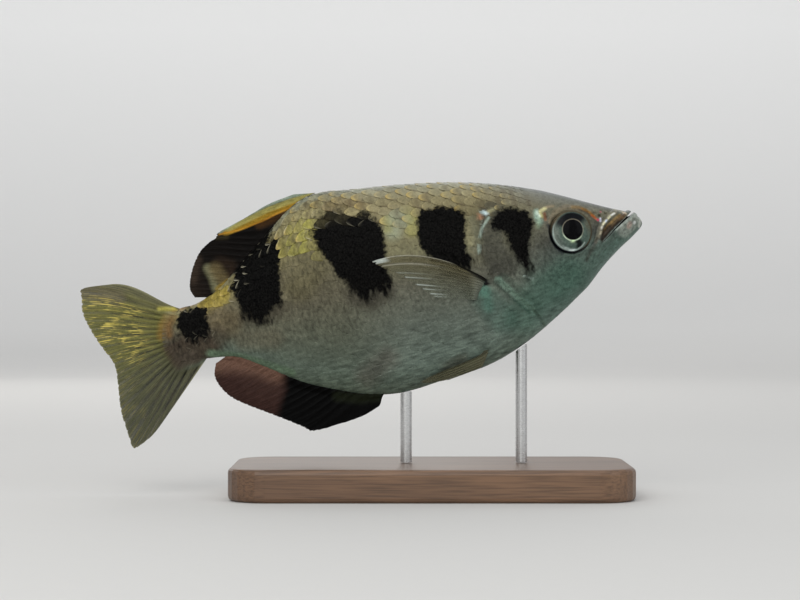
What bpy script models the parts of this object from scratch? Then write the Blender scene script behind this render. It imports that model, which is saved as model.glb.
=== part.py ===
"""A banded archerfish, life size, swimming nose up on a small display stand.

The fish is modelled level, in its own frame: the tip of the lower jaw at the origin, +X ahead,
+Y to the fish's left and +Z up. An empty then pitches it and lifts it over the stand. Places on
the fish are pairs (behind, up): distance behind the jaw tip and height over the body's long axis,
both in percent of the standard length, as in a fish survey.
"""

import math

import bpy
import bmesh
from mathutils import Matrix, Vector

# Driving dimensions
STANDARD_LENGTH = 0.150
PITCH = math.radians(13.64)
JAW_TIP = Vector((0.08776, 0.0, 0.0850))
PERCENT = STANDARD_LENGTH / 100
GAP = 0.0003
WELD = 1e-7

# The trunk's half sections. Each row is a station: behind the jaw tip, height of the back, height
# of the belly, half width, where the widest line lies between back and belly, and how full the
# section is above and below that line (2 is an ellipse, more is boxier, less is a keel).
STATIONS = (
    (0.0, 0.0, 0.0, 0.0, 0.45, 2.2, 2.0),
    (1.2, 2.1, -1.45, 2.0, 0.45, 2.2, 2.0),
    (3.0, 3.15, -2.6, 3.1, 0.42, 2.3, 2.0),
    (6.0, 4.6, -4.3, 4.45, 0.40, 2.4, 1.9),
    (10.0, 6.7, -7.0, 5.85, 0.38, 2.5, 1.8),
    (15.0, 9.4, -11.0, 7.1, 0.38, 2.5, 1.7),
    (22.0, 12.85, -15.2, 8.0, 0.40, 2.4, 1.7),
    (30.0, 15.8, -19.1, 8.65, 0.42, 2.3, 1.75),
    (38.0, 18.0, -21.5, 8.9, 0.42, 2.2, 1.8),
    (48.0, 19.85, -22.35, 8.7, 0.42, 2.1, 1.8),
    (57.0, 21.1, -22.8, 8.0, 0.42, 2.0, 1.75),
    (64.5, 22.0, -21.35, 7.0, 0.42, 2.0, 1.7),
    (70.5, 20.3, -18.9, 6.0, 0.42, 2.0, 1.7),
    (77.0, 15.85, -15.6, 4.85, 0.43, 2.0, 1.7),
    (84.0, 10.9, -10.5, 3.8, 0.45, 2.0, 1.8),
    (88.5, 7.75, -7.6, 3.1, 0.46, 2.0, 1.9),
    (94.0, 5.65, -6.4, 2.3, 0.48, 2.0, 2.0),
    (98.0, 5.5, -6.15, 1.45, 0.48, 2.0, 2.0),
    (100.0, 5.4, -6.0, 0.8, 0.48, 2.2, 2.2),
)
BODY_RINGS = 56
BODY_SIDES = 36

# The tail stock ends in a bowed, raked edge that carries the caudal fin.
TAIL_BEND_FROM = 92.0
TAIL_END = 99.3
TAIL_BOW = 2.1
TAIL_RAKE = 0.14
TAIL_MIDDLE = -0.3
TAIL_HALF_DEPTH = 5.8

# Cuts that part the flesh, as side-view lines
GILL_OPENING = (
    (29.5, 19.0), (30.6, 13.5), (31.6, 9.7), (33.2, 5.4), (34.1, 1.4), (33.6, -2.6),
    (31.2, -5.6), (28.4, -9.3), (26.0, -12.9), (24.6, -16.4), (23.8, -20.0),
)
COVER_EDGE = (
    (38.0, 7.6), (31.6, 9.8), (27.6, 10.3), (24.5, 8.4), (24.3, 3.6), (23.9, -1.4), (22.3, -5.8),
    (20.6, -9.4), (21.8, -12.3), (26.0, -13.7), (34.0, -14.6),
)
COVER_THICK = 0.0013
COVER_LIFT = 0.00045
COVER_FROM_MIDDLE = 0.003
TAIL_CUT = 93.5
CUT_STEPS = 16
CUT_REACH = 0.03

# Mouth, nostrils and eye
MOUTH_LINE = ((1.2, 2.75), (3.0, 1.75), (5.8, 0.2), (8.0, -1.25), (10.6, -2.85), (12.6, -4.4))
MOUTH_GAP_FRONT = 0.0009
MOUTH_GAP_CORNER = 0.0003
JAW_HINGE = (10.7, -7.4)
LIP_UPPER = 0.00105
LIP_LOWER = 0.00085
LIP_POINTS = 21
LIP_STEPS = 60
LIP_SINK = 0.45
NOSTRILS = ((7.3, 3.7), (8.9, 3.5))
NOSTRIL_RADIUS = 0.00055
EYE_AT = (15.4, 1.55)
EYE_RADIUS = 0.0067
EYE_BULGE = 0.0024
EYE_DEPTH = 0.0046
EYE_SINK = 0.0011
EYE_TURN = math.radians(9)
ORBIT_RADIUS = 4.35
ORBIT_RIM = 0.0004

# Fins: thickness over a ray's root and tip, and of the membrane
MEMBRANE = 0.00052
MEMBRANE_ROOT = 0.0009
SPINE_ROOT = 0.0016
SPINE_TIP = 0.0007
RAY_ROOT = 0.0012
RAY_TIP = 0.00075
PELVIC_SPINE = 0.0014
PELVIC_RAY = 0.0011
RAY_WIDTH = 0.32
SCALLOP = 0.035
FOLDED_CLEAR = 0.0004

# Stand
BASE_LENGTH = 0.124
BASE_WIDTH = 0.060
BASE_HEIGHT = 0.010
BASE_MIDDLE = 0.022
BASE_CORNER = 0.012
BASE_CORNER_STEPS = 6
BASE_BEVEL = 0.0015
ROD_RADIUS = 0.0018
ROD_STATIONS = (30.5, 56.0)
ROD_SOCKET = 0.005

# Finishes: colour, roughness, metallic
SKIN = ("skin", (0.46, 0.45, 0.36), 0.35, 0.0)
DARK_FIN = ("dark_fin", (0.05, 0.04, 0.035), 0.45, 0.0)
YELLOW_FIN = ("yellow_fin", (0.52, 0.46, 0.16), 0.4, 0.0)
CLEAR_FIN = ("clear_fin", (0.55, 0.55, 0.47), 0.35, 0.0)
EYE = ("eye", (0.05, 0.05, 0.05), 0.08, 0.0)
WOOD = ("stand_wood", (0.16, 0.09, 0.05), 0.45, 0.0)
STEEL = ("stand_steel", (0.62, 0.62, 0.62), 0.3, 1.0)


def clear_scene():
    for obj in list(bpy.data.objects):
        bpy.data.objects.remove(obj, do_unlink=True)


def collection(name):
    made = bpy.data.collections.new(name)
    bpy.context.scene.collection.children.link(made)
    return made


def material(finish):
    name, colour, roughness, metallic = finish
    made = bpy.data.materials.get(name)
    if made is None:
        made = bpy.data.materials.new(name)
        made.use_nodes = True
        shader = made.node_tree.nodes["Principled BSDF"]
        shader.inputs["Base Color"].default_value = (*colour, 1.0)
        shader.inputs["Roughness"].default_value = roughness
        shader.inputs["Metallic"].default_value = metallic
        made.diffuse_color = (*colour, 1.0)
    return made


def add_object(name, mesh, group, finish=None):
    obj = bpy.data.objects.new(name, mesh)
    group.objects.link(obj)
    if finish:
        mesh.materials.clear()
        mesh.materials.append(material(finish))
    return obj


def smooth(keys, values, at):
    """A cubic curve through values at rising keys, with slopes taken from the neighbours."""
    last = len(keys) - 1
    at = min(max(at, keys[0]), keys[-1])
    i = next((k for k in range(last) if at <= keys[k + 1]), last - 1)

    def slope(k):
        low, high = max(k - 1, 0), min(k + 1, last)
        return (values[high] - values[low]) / (keys[high] - keys[low])

    span = keys[i + 1] - keys[i]
    t = (at - keys[i]) / span
    return (
        (2 * t**3 - 3 * t**2 + 1) * values[i]
        + (t**3 - 2 * t**2 + t) * span * slope(i)
        + (3 * t**2 - 2 * t**3) * values[i + 1]
        + (t**3 - t**2) * span * slope(i + 1)
    )


def along(points, t):
    """The place at share t of a smooth line through points, by their order."""
    keys = list(range(len(points)))
    at = t * keys[-1]
    return [smooth(keys, [p[k] for p in points], at) for k in range(len(points[0]))]


def ease(low, high, value):
    t = min(max((value - low) / (high - low), 0.0), 1.0)
    return t * t * (3 - 2 * t)


def station(behind):
    """Back, belly, half width, widest line and both fullnesses at a distance behind the tip.

    The square root of the distance is the curves' parameter, which rounds the snout.
    """
    keys = [math.sqrt(row[0]) for row in STATIONS]
    at = math.sqrt(max(behind, 0.0))
    return [smooth(keys, [row[k] for row in STATIONS], at) for k in range(1, 7)]


def tail_shift(behind, up):
    """How far the tail stock's end is bowed and raked backwards, in percent."""
    share = (up - TAIL_MIDDLE) / TAIL_HALF_DEPTH
    bow = TAIL_BOW * (1 - min(share * share, 1.0)) - TAIL_RAKE * up
    return bow * ease(TAIL_BEND_FROM, TAIL_END, behind)


def relief(behind, up):
    """Low forms on the head's side, in metres outwards: the orbit's rim and the gill cover."""
    from_eye = math.hypot(behind - EYE_AT[0], up - EYE_AT[1])
    rim = ORBIT_RIM * math.exp(-(((from_eye - ORBIT_RADIUS - 0.5) / 0.9) ** 2))
    edge = gill_opening_at(up)
    on_cover = ease(23.5, 26.0, behind) * (1 - ease(edge, edge + 0.6, behind))
    fade = ease(-17.0, -13.0, up) * (1 - ease(8.5, 11.5, up))
    return rim + COVER_LIFT * on_cover * fade


def gill_opening_at(up):
    """How far behind the jaw tip the gill opening lies at a height."""
    rising = sorted((height, behind) for behind, height in GILL_OPENING)
    return smooth([p[0] for p in rising], [p[1] for p in rising], up)


def ring_point(behind, angle):
    """A point on the body, in metres: angle 0 is the back, pi the belly and the left side is +Y."""
    back, belly, half, widest, above, below = station(behind)
    turn = angle % (2 * math.pi)
    side = 1 if turn <= math.pi else -1
    turn = turn if side > 0 else 2 * math.pi - turn
    if turn <= math.pi / 2:
        full = above
        share = widest * (1 - abs(math.cos(turn)) ** (2 / full))
    else:
        full = below
        share = 1 - (1 - widest) * (1 - abs(math.cos(turn)) ** (2 / full))
    out = half * PERCENT * abs(math.sin(turn)) ** (2 / full)
    up = back + (belly - back) * share
    out += relief(behind, up) * min(out / (0.3 * max(half, 0.1) * PERCENT), 1.0)
    place = behind + tail_shift(behind, up)
    return Vector((-place * PERCENT, side * out, up * PERCENT))


def flank(behind, up):
    """Half width of the body at a side-view place, in metres."""
    back, belly, half, widest, above, below = station(behind)
    share = min(max((back - up) / (back - belly), 0.0), 1.0)
    if share < widest:
        return half * PERCENT * (1 - (1 - share / widest) ** above) ** (1 / above)
    return half * PERCENT * (1 - ((share - widest) / (1 - widest)) ** below) ** (1 / below)


def outward(behind, angle):
    """The body's outward normal at a ring point."""
    ahead = ring_point(behind + 0.3, angle) - ring_point(behind - 0.3, angle)
    around = ring_point(behind, angle + 0.02) - ring_point(behind, angle - 0.02)
    normal = around.cross(ahead).normalized()
    centre = ring_point(behind, 0.0).lerp(ring_point(behind, math.pi), 0.5)
    return normal if normal.dot(ring_point(behind, angle) - centre) > 0 else -normal


def body_mesh(name, grow=0.0):
    """The whole body as one closed loft, its surface moved outwards by grow."""
    form = bmesh.new()
    tip = form.verts.new((0, 0, 0))
    rings = []
    for i in range(1, BODY_RINGS + 1):
        behind = TAIL_END * (i / BODY_RINGS) ** 2
        angles = [2 * math.pi * k / BODY_SIDES for k in range(BODY_SIDES)]
        rings.append([form.verts.new(ring_point(behind, a)) for a in angles])
    for k in range(BODY_SIDES):
        form.faces.new((tip, rings[0][k], rings[0][(k + 1) % BODY_SIDES]))
    for near, far in zip(rings, rings[1:]):
        for k in range(BODY_SIDES):
            n = (k + 1) % BODY_SIDES
            form.faces.new((near[k], far[k], far[n], near[n]))
    last = rings[-1]
    for k in range(BODY_SIDES // 2):
        corners = [last[k], last[k + 1], last[-k - 1], last[-k]]
        form.faces.new([v for i, v in enumerate(corners) if v not in corners[:i]])
    bmesh.ops.recalc_face_normals(form, faces=form.faces)
    form.normal_update()
    if grow:
        moves = [(v, v.normal.copy()) for v in form.verts]
        for vert, normal in moves:
            vert.co += normal * grow
    mesh = bpy.data.meshes.new(name)
    form.to_mesh(mesh)
    form.free()
    return mesh


def evaluated_mesh(obj, name):
    """A mesh of the object as its modifiers leave it, with loose caps welded."""
    graph = bpy.context.evaluated_depsgraph_get()
    mesh = bpy.data.meshes.new_from_object(obj.evaluated_get(graph))
    mesh.name = name
    form = bmesh.new()
    form.from_mesh(mesh)
    bmesh.ops.remove_doubles(form, verts=form.verts, dist=WELD)
    form.to_mesh(mesh)
    form.free()
    return mesh


def to_mesh_object(curve, name, group):
    """Turns a curve object into a mesh object at the same place and removes the curve."""
    bpy.context.view_layer.update()
    made = add_object(name, evaluated_mesh(curve, name), group)
    made.matrix_world = curve.matrix_world
    bpy.data.objects.remove(curve, do_unlink=True)
    return made


def slab(name, outline, low, high, group):
    """A side-view outline of (behind, up) places made a slab from y = low to y = high."""
    curve = bpy.data.curves.new(name, "CURVE")
    curve.dimensions = "2D"
    curve.fill_mode = "BOTH"
    curve.extrude = (high - low) / 2
    spline = curve.splines.new("POLY")
    spline.points.add(len(outline) - 1)
    for point, (behind, up) in zip(spline.points, outline):
        point.co = (-behind * PERCENT, up * PERCENT, 0, 1)
    spline.use_cyclic_u = True
    obj = add_object(name + "_outline", curve, group)
    obj.matrix_world = Matrix.Translation((0, (low + high) / 2, 0)) @ Matrix.Rotation(
        math.pi / 2, 4, "X"
    )
    made = to_mesh_object(obj, name, group)
    made.data.transform(made.matrix_world)
    made.matrix_world = Matrix.Identity(4)
    form = bmesh.new()
    form.from_mesh(made.data)
    bmesh.ops.recalc_face_normals(form, faces=form.faces)
    form.to_mesh(made.data)
    form.free()
    return made


def keep_largest(mesh):
    """Leaves only the mesh's largest closed surface."""
    form = bmesh.new()
    form.from_mesh(mesh)
    bmesh.ops.remove_doubles(form, verts=form.verts, dist=WELD)
    unseen = set(form.verts)
    parts = []
    while unseen:
        part, edge = set(), [unseen.pop()]
        while edge:
            vert = edge.pop()
            part.add(vert)
            for other in (e.other_vert(vert) for e in vert.link_edges):
                if other in unseen:
                    unseen.discard(other)
                    edge.append(other)
        parts.append(part)
    parts.sort(key=len)
    for part in parts[:-1]:
        bmesh.ops.delete(form, geom=list(part), context="VERTS")
    form.to_mesh(mesh)
    form.free()


def boolean(obj, other, operation, solver="EXACT"):
    """Applies one Boolean with an object, or with all of a collection's objects."""
    modifier = obj.modifiers.new(operation.lower(), "BOOLEAN")
    modifier.operation = operation
    modifier.solver = solver
    if isinstance(other, bpy.types.Collection):
        modifier.operand_type = "COLLECTION"
        modifier.collection = other
    else:
        modifier.object = other
    bpy.context.view_layer.update()
    mesh = evaluated_mesh(obj, obj.name)
    obj.modifiers.clear()
    old = obj.data
    obj.data = mesh
    bpy.data.meshes.remove(old)
    keep_largest(mesh)
    return obj


def discard(*objects):
    for obj in objects:
        bpy.data.objects.remove(obj, do_unlink=True)


def tube(name, points, radii, group, sides=3):
    """A closed round rod through points, thicker and thinner by radii."""
    curve = bpy.data.curves.new(name, "CURVE")
    curve.dimensions = "3D"
    curve.bevel_depth = 1.0
    curve.bevel_resolution = sides
    curve.use_fill_caps = True
    spline = curve.splines.new("POLY")
    spline.points.add(len(points) - 1)
    for point, place, radius in zip(spline.points, points, radii):
        point.co = (*place, 1)
        point.radius = radius
    obj = add_object(name + "_path", curve, group)
    return to_mesh_object(obj, name, group)


def spaced(points, count):
    """Places at even steps along a line of points."""
    lengths = [0.0]
    for a, b in zip(points, points[1:]):
        lengths.append(lengths[-1] + (b - a).length)
    places = []
    k = 0
    for i in range(count):
        want = lengths[-1] * i / (count - 1)
        while k < len(points) - 2 and lengths[k + 1] < want:
            k += 1
        share = (want - lengths[k]) / (lengths[k + 1] - lengths[k])
        places.append(points[k].lerp(points[k + 1], share))
    return places


def lip(name, above, radius, group):
    """A lip along the mouth line, from one corner round the front to the other."""
    half = []
    start, end = MOUTH_LINE[0], MOUTH_LINE[-1]
    length = math.hypot(end[0] - start[0], end[1] - start[1])
    shift = above * radius / PERCENT / length
    shift_behind, shift_up = (start[1] - end[1]) * shift, (end[0] - start[0]) * shift
    for i in range(LIP_STEPS):
        behind, up = along(MOUTH_LINE, 1 - i / LIP_STEPS)
        behind, up = behind + shift_behind, up + shift_up
        if up > station(behind)[0] - 0.5 * radius / PERCENT:
            break
        half.append(Vector((-behind * PERCENT, flank(behind, up), up * PERCENT)))
    path = spaced(half + [Vector((p.x, -p.y, p.z)) for p in reversed(half)], LIP_POINTS)
    middle = sum(path, Vector()) / len(path)
    inset = []
    for place in path:
        away = Vector((place.x - middle.x, place.y, 0.0)).normalized()
        inset.append(place - away * (LIP_SINK * radius))
    last = LIP_POINTS - 1
    radii = [radius * (0.55 + 0.45 * math.sin(math.pi * i / last)) for i in range(LIP_POINTS)]
    return tube(name, inset, radii, group, sides=2)


def jaw_outline(side):
    """The lower jaw's region, its upper line moved by half the mouth's gap up or down."""
    upper = []
    for i in range(11):
        t = i / 10
        behind, up = along(MOUTH_LINE, t)
        gap = MOUTH_GAP_FRONT + (MOUTH_GAP_CORNER - MOUTH_GAP_FRONT) * t
        upper.append((behind, up + side * gap / 2 / PERCENT))
    hinge = side * GAP / 2 / PERCENT
    front = (upper[0][0] - 4.0, upper[0][1] + 2.4)
    below = (JAW_HINGE[0] - 1.6 + hinge, JAW_HINGE[1] - 2.8)
    return [front, *upper[:-1], (upper[-1][0] + hinge, upper[-1][1]),
            (JAW_HINGE[0] + hinge, JAW_HINGE[1]), below, (front[0], below[1])]


def smooth_line(points, steps):
    return [tuple(along(points, i / steps)) for i in range(steps + 1)]


def head_outline(shift):
    """The head's region ahead of the gill opening, its rear line moved by shift percent."""
    rear = [(behind + shift, up) for behind, up in smooth_line(GILL_OPENING, CUT_STEPS)]
    return [(-6.0, rear[0][1]), *rear, (-6.0, rear[-1][1])]


def moved_line(points, distance):
    """A side-view line moved to its left, seen along the way it runs, by distance."""
    moved = []
    for i, (behind, up) in enumerate(points):
        ahead, back = points[min(i + 1, len(points) - 1)], points[max(i - 1, 0)]
        run, rise = ahead[0] - back[0], ahead[1] - back[1]
        length = math.hypot(run, rise)
        moved.append((behind + rise / length * distance, up - run / length * distance))
    return moved


def cover_outline(grow):
    """The gill cover's region, its front edge moved outwards by grow percent."""
    edge = moved_line(smooth_line(COVER_EDGE, 2 * CUT_STEPS), grow)
    return [*edge, (44.0, edge[-1][1]), (44.0, edge[0][1])]


def eye_mesh(name, grow=0.0):
    """An eyeball: a dome outside and a deeper bowl inside, its axis along +Y."""
    form = bmesh.new()
    bmesh.ops.create_uvsphere(form, u_segments=20, v_segments=10, radius=1.0)
    bmesh.ops.rotate(form, verts=form.verts, matrix=Matrix.Rotation(-math.pi / 2, 3, "X"))
    for vert in form.verts:
        depth = EYE_BULGE if vert.co.y > 0 else EYE_DEPTH
        vert.co = Vector((
            vert.co.x * (EYE_RADIUS + grow),
            vert.co.y * (depth + grow),
            vert.co.z * (EYE_RADIUS + grow),
        ))
    mesh = bpy.data.meshes.new(name)
    form.to_mesh(mesh)
    form.free()
    return mesh


def place_eye(mesh, side):
    """Sets an eyeball in the head: side 1 is the fish's left."""
    if side < 0:
        mesh.transform(Matrix.Scale(-1, 4, (0, 1, 0)))
        mesh.flip_normals()
    turn = Matrix.Rotation(-side * EYE_TURN, 4, "Z")
    set_at = flank(*EYE_AT) - EYE_SINK
    place = Vector((-EYE_AT[0] * PERCENT, side * set_at, EYE_AT[1] * PERCENT))
    mesh.transform(Matrix.Translation(place) @ turn)
    return mesh


def nostril(name, at, side, group):
    """A short cone that cuts a nostril."""
    form = bmesh.new()
    bmesh.ops.create_cone(
        form, cap_ends=True, segments=10, radius1=NOSTRIL_RADIUS * 0.6,
        radius2=NOSTRIL_RADIUS * 1.5, depth=0.004,
    )
    mesh = bpy.data.meshes.new(name)
    form.to_mesh(mesh)
    form.free()
    mesh.transform(Matrix.Rotation(-side * math.pi / 2, 4, "X"))
    out = flank(*at)
    mesh.transform(Matrix.Translation((-at[0] * PERCENT, side * (out + 0.0009), at[1] * PERCENT)))
    return add_object(name, mesh, group)


def build_flesh(model, tools):
    """Head, lower jaw, gill covers, trunk and tail stock, parted from one loft by thin cuts."""
    half_gap = GAP / 2 / PERCENT
    body = add_object("whole_body", body_mesh("whole_body"), tools)
    jaw_region = slab("jaw_region", jaw_outline(-1), -CUT_REACH, CUT_REACH, tools)
    jaw_clear = slab("jaw_clear", jaw_outline(1), -CUT_REACH, CUT_REACH, tools)
    head_region = slab("head_region", head_outline(-half_gap), -CUT_REACH, CUT_REACH, tools)
    head_clear = slab("head_clear", head_outline(half_gap), -CUT_REACH, CUT_REACH, tools)

    lower_jaw = add_object("lower_jaw", body.data.copy(), model, SKIN)
    lower_lip = lip("lower_lip", -1, LIP_LOWER, tools)
    boolean(lower_jaw, lower_lip, "UNION")
    boolean(lower_jaw, jaw_region, "INTERSECT")

    head = add_object("head", body.data.copy(), model, SKIN)
    boolean(head, head_region, "INTERSECT")
    upper_lip = lip("upper_lip", 1, LIP_UPPER, tools)
    boolean(head, upper_lip, "UNION")
    boolean(head, jaw_clear, "DIFFERENCE")
    for side, word in ((1, "left"), (-1, "right")):
        socket = add_object("socket", place_eye(eye_mesh("socket", GAP), side), tools)
        boolean(head, socket, "DIFFERENCE")
        discard(socket)
        for at in NOSTRILS:
            pit = nostril("nostril", at, side, tools)
            boolean(head, pit, "DIFFERENCE")
            discard(pit)
        eye = add_object("eye_" + word, place_eye(eye_mesh("eye"), side), model, EYE)
        eye.data.shade_smooth()

    inner = add_object("under_cover", body_mesh("under_cover", -COVER_THICK), tools)
    deeper = add_object("cover_bed", body_mesh("cover_bed", -COVER_THICK - GAP), tools)
    for side, word in ((1, "left"), (-1, "right")):
        low, high = sorted((side * COVER_FROM_MIDDLE, side * CUT_REACH))
        cover_region = slab("cover_region", cover_outline(0.0), low, high, tools)
        cover = add_object("gill_cover_" + word, body.data.copy(), model, SKIN)
        boolean(cover, head_region, "INTERSECT")
        boolean(cover, cover_region, "INTERSECT")
        boolean(cover, inner, "DIFFERENCE")
        bed = slab("cover_clear", cover_outline(GAP / PERCENT), low, high, tools)
        boolean(bed, deeper, "DIFFERENCE")
        boolean(head, bed, "DIFFERENCE")
        discard(cover_region, bed)
    discard(inner, deeper)

    trunk = add_object("trunk", body.data.copy(), model, SKIN)
    rear = [(TAIL_CUT, 30.0), (TAIL_CUT, -30.0), (120.0, -30.0), (120.0, 30.0)]
    rear_region = slab("rear_region", rear, -CUT_REACH, CUT_REACH, tools)
    shifted = [(behind - 2 * half_gap, up) for behind, up in rear[:2]] + rear[2:]
    rear_clear = slab("rear_clear", shifted, -CUT_REACH, CUT_REACH, tools)
    boolean(trunk, head_clear, "DIFFERENCE")
    boolean(trunk, rear_clear, "DIFFERENCE")
    tail = add_object("tail_stock", body.data.copy(), model, SKIN)
    boolean(tail, rear_region, "INTERSECT")
    discard(body, jaw_region, jaw_clear, head_region, head_clear, lower_lip, upper_lip,
            rear_region, rear_clear)


def fin_mesh(name, rays, rows=7, settle=None):
    """A fin as one closed sheet whose rays stand as ridges on both faces.

    Each ray is (path, root thickness, tip thickness): path(t) gives a point from root to tip, in
    metres. Three columns of points carry a ray: its crest and the membrane on either side. Both
    faces are split into triangles alike. settle, if given, moves the points of the root row.
    """
    grid = []
    last = len(rays) - 1
    for j, (path, root, tip) in enumerate(rays):
        before = rays[j - 1][0] if j else None
        after = rays[j + 1][0] if j < last else None
        for place in (-1, 0, 1):
            other = before if place < 0 else after
            if place and other is None:
                continue
            column = []
            for i in range(rows):
                t = i / (rows - 1)
                thick = root + (tip - root) * t
                if place:
                    share = RAY_WIDTH * (1 - 0.35 * t)
                    t *= 1 - SCALLOP
                    point = path(t).lerp(other(t), share)
                    thick = min(MEMBRANE_ROOT + (MEMBRANE - MEMBRANE_ROOT) * min(2 * t, 1), thick)
                else:
                    point = path(t)
                column.append((point, thick))
            grid.append(column)
    form = bmesh.new()
    faces = {1: [], -1: []}
    for side in (1, -1):
        for j, column in enumerate(grid):
            made = []
            for i, (point, thick) in enumerate(column):
                down = grid[j][min(i + 1, rows - 1)][0] - grid[j][max(i - 1, 0)][0]
                across = grid[min(j + 1, len(grid) - 1)][i][0] - grid[max(j - 1, 0)][i][0]
                normal = across.cross(down).normalized()
                place = point + normal * (side * thick / 2)
                if i == 0 and settle:
                    place = settle(point, place, side)
                made.append(form.verts.new(place))
            faces[side].append(made)
    columns = len(grid)
    for j in range(columns - 1):
        for i in range(rows - 1):
            for side in (1, -1):
                f = faces[side]
                a, b, c, d = f[j][i], f[j + 1][i], f[j + 1][i + 1], f[j][i + 1]
                form.faces.new((a, b, c) if side > 0 else (a, c, b))
                form.faces.new((a, c, d) if side > 0 else (a, d, c))
    border = [(j, 0) for j in range(columns)]
    border += [(columns - 1, i) for i in range(1, rows)]
    border += [(j, rows - 1) for j in range(columns - 2, -1, -1)]
    border += [(0, i) for i in range(rows - 2, 0, -1)]
    for (j, i), (n, m) in zip(border, border[1:] + border[:1]):
        a, b = faces[1][j][i], faces[1][n][m]
        c, d = faces[-1][n][m], faces[-1][j][i]
        form.faces.new((a, c, b))
        form.faces.new((a, d, c))
    bmesh.ops.recalc_face_normals(form, faces=form.faces)
    mesh = bpy.data.meshes.new(name)
    form.to_mesh(mesh)
    form.free()
    return mesh


def flat_ray(root, tip, bow):
    """A ray in the fish's middle plane, from root to tip, bowed across its length."""
    start = Vector((-root[0] * PERCENT, 0.0, root[1] * PERCENT))
    end = Vector((-tip[0] * PERCENT, 0.0, tip[1] * PERCENT))
    chord = end - start
    across = Vector((-chord.z, 0.0, chord.x)).normalized()

    def path(t):
        swell = 6.75 * t * t * (1 - t)
        return start + chord * t + across * (bow * PERCENT * swell)

    return path


def edge_root(behind, back, lift):
    """A root on the back or belly line, lifted off it by lift metres."""
    key = 0 if back else 1
    slope = (station(behind + 0.5)[key] - station(behind - 0.5)[key]) / 1.0
    length = math.hypot(1, slope)
    sign = 1 if back else -1
    away = lift / PERCENT
    return (behind - sign * slope / length * away, station(behind)[key] + sign * away / length)


def dorsal_fin():
    """Five strong spines laid back along the fin, then soft rays that round off its rear lobe."""
    rays = []
    spine_roots = (65.4, 67.9, 70.4, 73.0, 75.6)
    spine_tips = ((69.0, 22.75), (74.6, 22.0), (80.6, 20.2), (86.0, 18.75), (87.0, 17.7))
    for i, (root, tip) in enumerate(zip(spine_roots, spine_tips)):
        path = flat_ray(edge_root(root, True, GAP), tip, -0.1 * i)
        rays.append((path, SPINE_ROOT, SPINE_TIP))
    soft_tips = ((88.2, 17.3), (90.6, 15.9), (92.6, 13.5), (94.0, 10.9), (94.6, 8.6), (94.0, 6.75))
    count = 12
    for i in range(count):
        t = i / (count - 1)
        root = edge_root(77.8 + (92.2 - 77.8) * t, True, GAP)
        rays.append((flat_ray(root, along(soft_tips, t), -0.5 * (1 - t)), RAY_ROOT, RAY_TIP))
    return fin_mesh("dorsal_fin", rays, rows=6)


def anal_fin():
    """Three spines, the third the longest, then soft rays along a long, curved edge."""
    rays = []
    spine_tips = ((62.6, -24.4), (67.0, -25.6), (76.2, -26.1))
    for root, tip in zip((60.9, 62.8, 64.9), spine_tips):
        rays.append((flat_ray(edge_root(root, False, GAP), tip, 0.3), SPINE_ROOT, SPINE_TIP))
    soft_tips = (
        (78.4, -24.8), (82.0, -22.2), (85.6, -19.7), (88.8, -17.5), (91.6, -15.2),
        (93.3, -12.6), (93.9, -10.0), (93.0, -7.6),
    )
    count = 16
    for i in range(count):
        t = i / (count - 1)
        root = edge_root(67.2 + (91.4 - 67.2) * t, False, GAP)
        rays.append((flat_ray(root, along(soft_tips, t), 0.5 * (1 - t)), RAY_ROOT, RAY_TIP))
    return fin_mesh("anal_fin", rays, rows=6)


def caudal_roots():
    """Places just off the tail stock's end, from its upper edge round the bow to the lower edge."""
    away = GAP / PERCENT
    places = [edge_root(98.3, True, GAP)]
    steps = 14
    for i in range(steps + 1):
        up = 5.25 - 11.1 * i / steps
        places.append((TAIL_END + tail_shift(TAIL_END, up) + away, up))
    corner = places[-1]
    places.append((corner[0] - 0.1, corner[1] - 0.5))
    places.extend(edge_root(behind, False, GAP) for behind in (99.0, 97.0, 95.0))
    return places


def caudal_fin():
    """Rays fanned from the tail stock's bowed end to a shallow fork, short ones on its edges."""
    upper_tip = (111.0, 13.6)
    lower_tips = ((112.7, -20.85), (109.2, -19.05), (104.4, -14.9))
    fork = (
        (116.9, 14.1), (118.0, 9.7), (117.3, 5.8), (115.7, 1.3), (113.9, -3.0), (114.3, -8.0),
        (114.9, -13.4), (114.3, -20.9),
    )
    roots = caudal_roots()
    last = len(roots) - 1
    principal = last - len(lower_tips)
    tips = [upper_tip, *(along(fork, i / (principal - 1)) for i in range(principal)), *lower_tips]
    rays = []
    for i, (root, tip) in enumerate(zip(roots, tips)):
        path = flat_ray(root, tip, -1.2 * (1 - i / last) ** 3)
        rays.append((path, RAY_ROOT, RAY_TIP))
    return fin_mesh("caudal_fin", rays, rows=7)


def pectoral_fin(side, name):
    """Twelve rays leaning out and back from a short slanted root on the flank."""
    count = 12
    roots = ((35.8, -4.35), (37.2, -6.2), (38.7, -7.8))
    tips = ((56.4, 4.9), (54.4, 3.1), (51.6, 1.2), (49.2, -1.2), (47.2, -3.3), (45.4, -5.2))
    spread = 0.0172
    foot = 1.1

    def ray(t):
        behind, up = along(roots, t)
        end_behind, end_up = along(tips, t)
        rise = 3.0 * (1 - t) + 0.5
        reach = spread * (1 - 0.45 * t)
        start = flank(behind, up)

        def path(s):
            back = behind + (end_behind - behind) * s
            high = up + (end_up - up) * s + rise * 4 * s * (1 - s)
            out = start + GAP + FOLDED_CLEAR + reach * (0.75 * s + 0.25 * s * s)
            return Vector((-back * PERCENT, side * out, high * PERCENT))

        return path

    def settle(point, place, face):
        outer = (place.y - point.y) * side > 0
        behind, up = -point.x / PERCENT - (foot if outer else 0.0), point.z / PERCENT
        return Vector((-behind * PERCENT, side * (flank(behind, up) + GAP), up * PERCENT))

    rays = [(ray(i / (count - 1)), MEMBRANE_ROOT, RAY_TIP) for i in range(count)]
    return fin_mesh(name, rays, rows=7, settle=settle)


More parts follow.
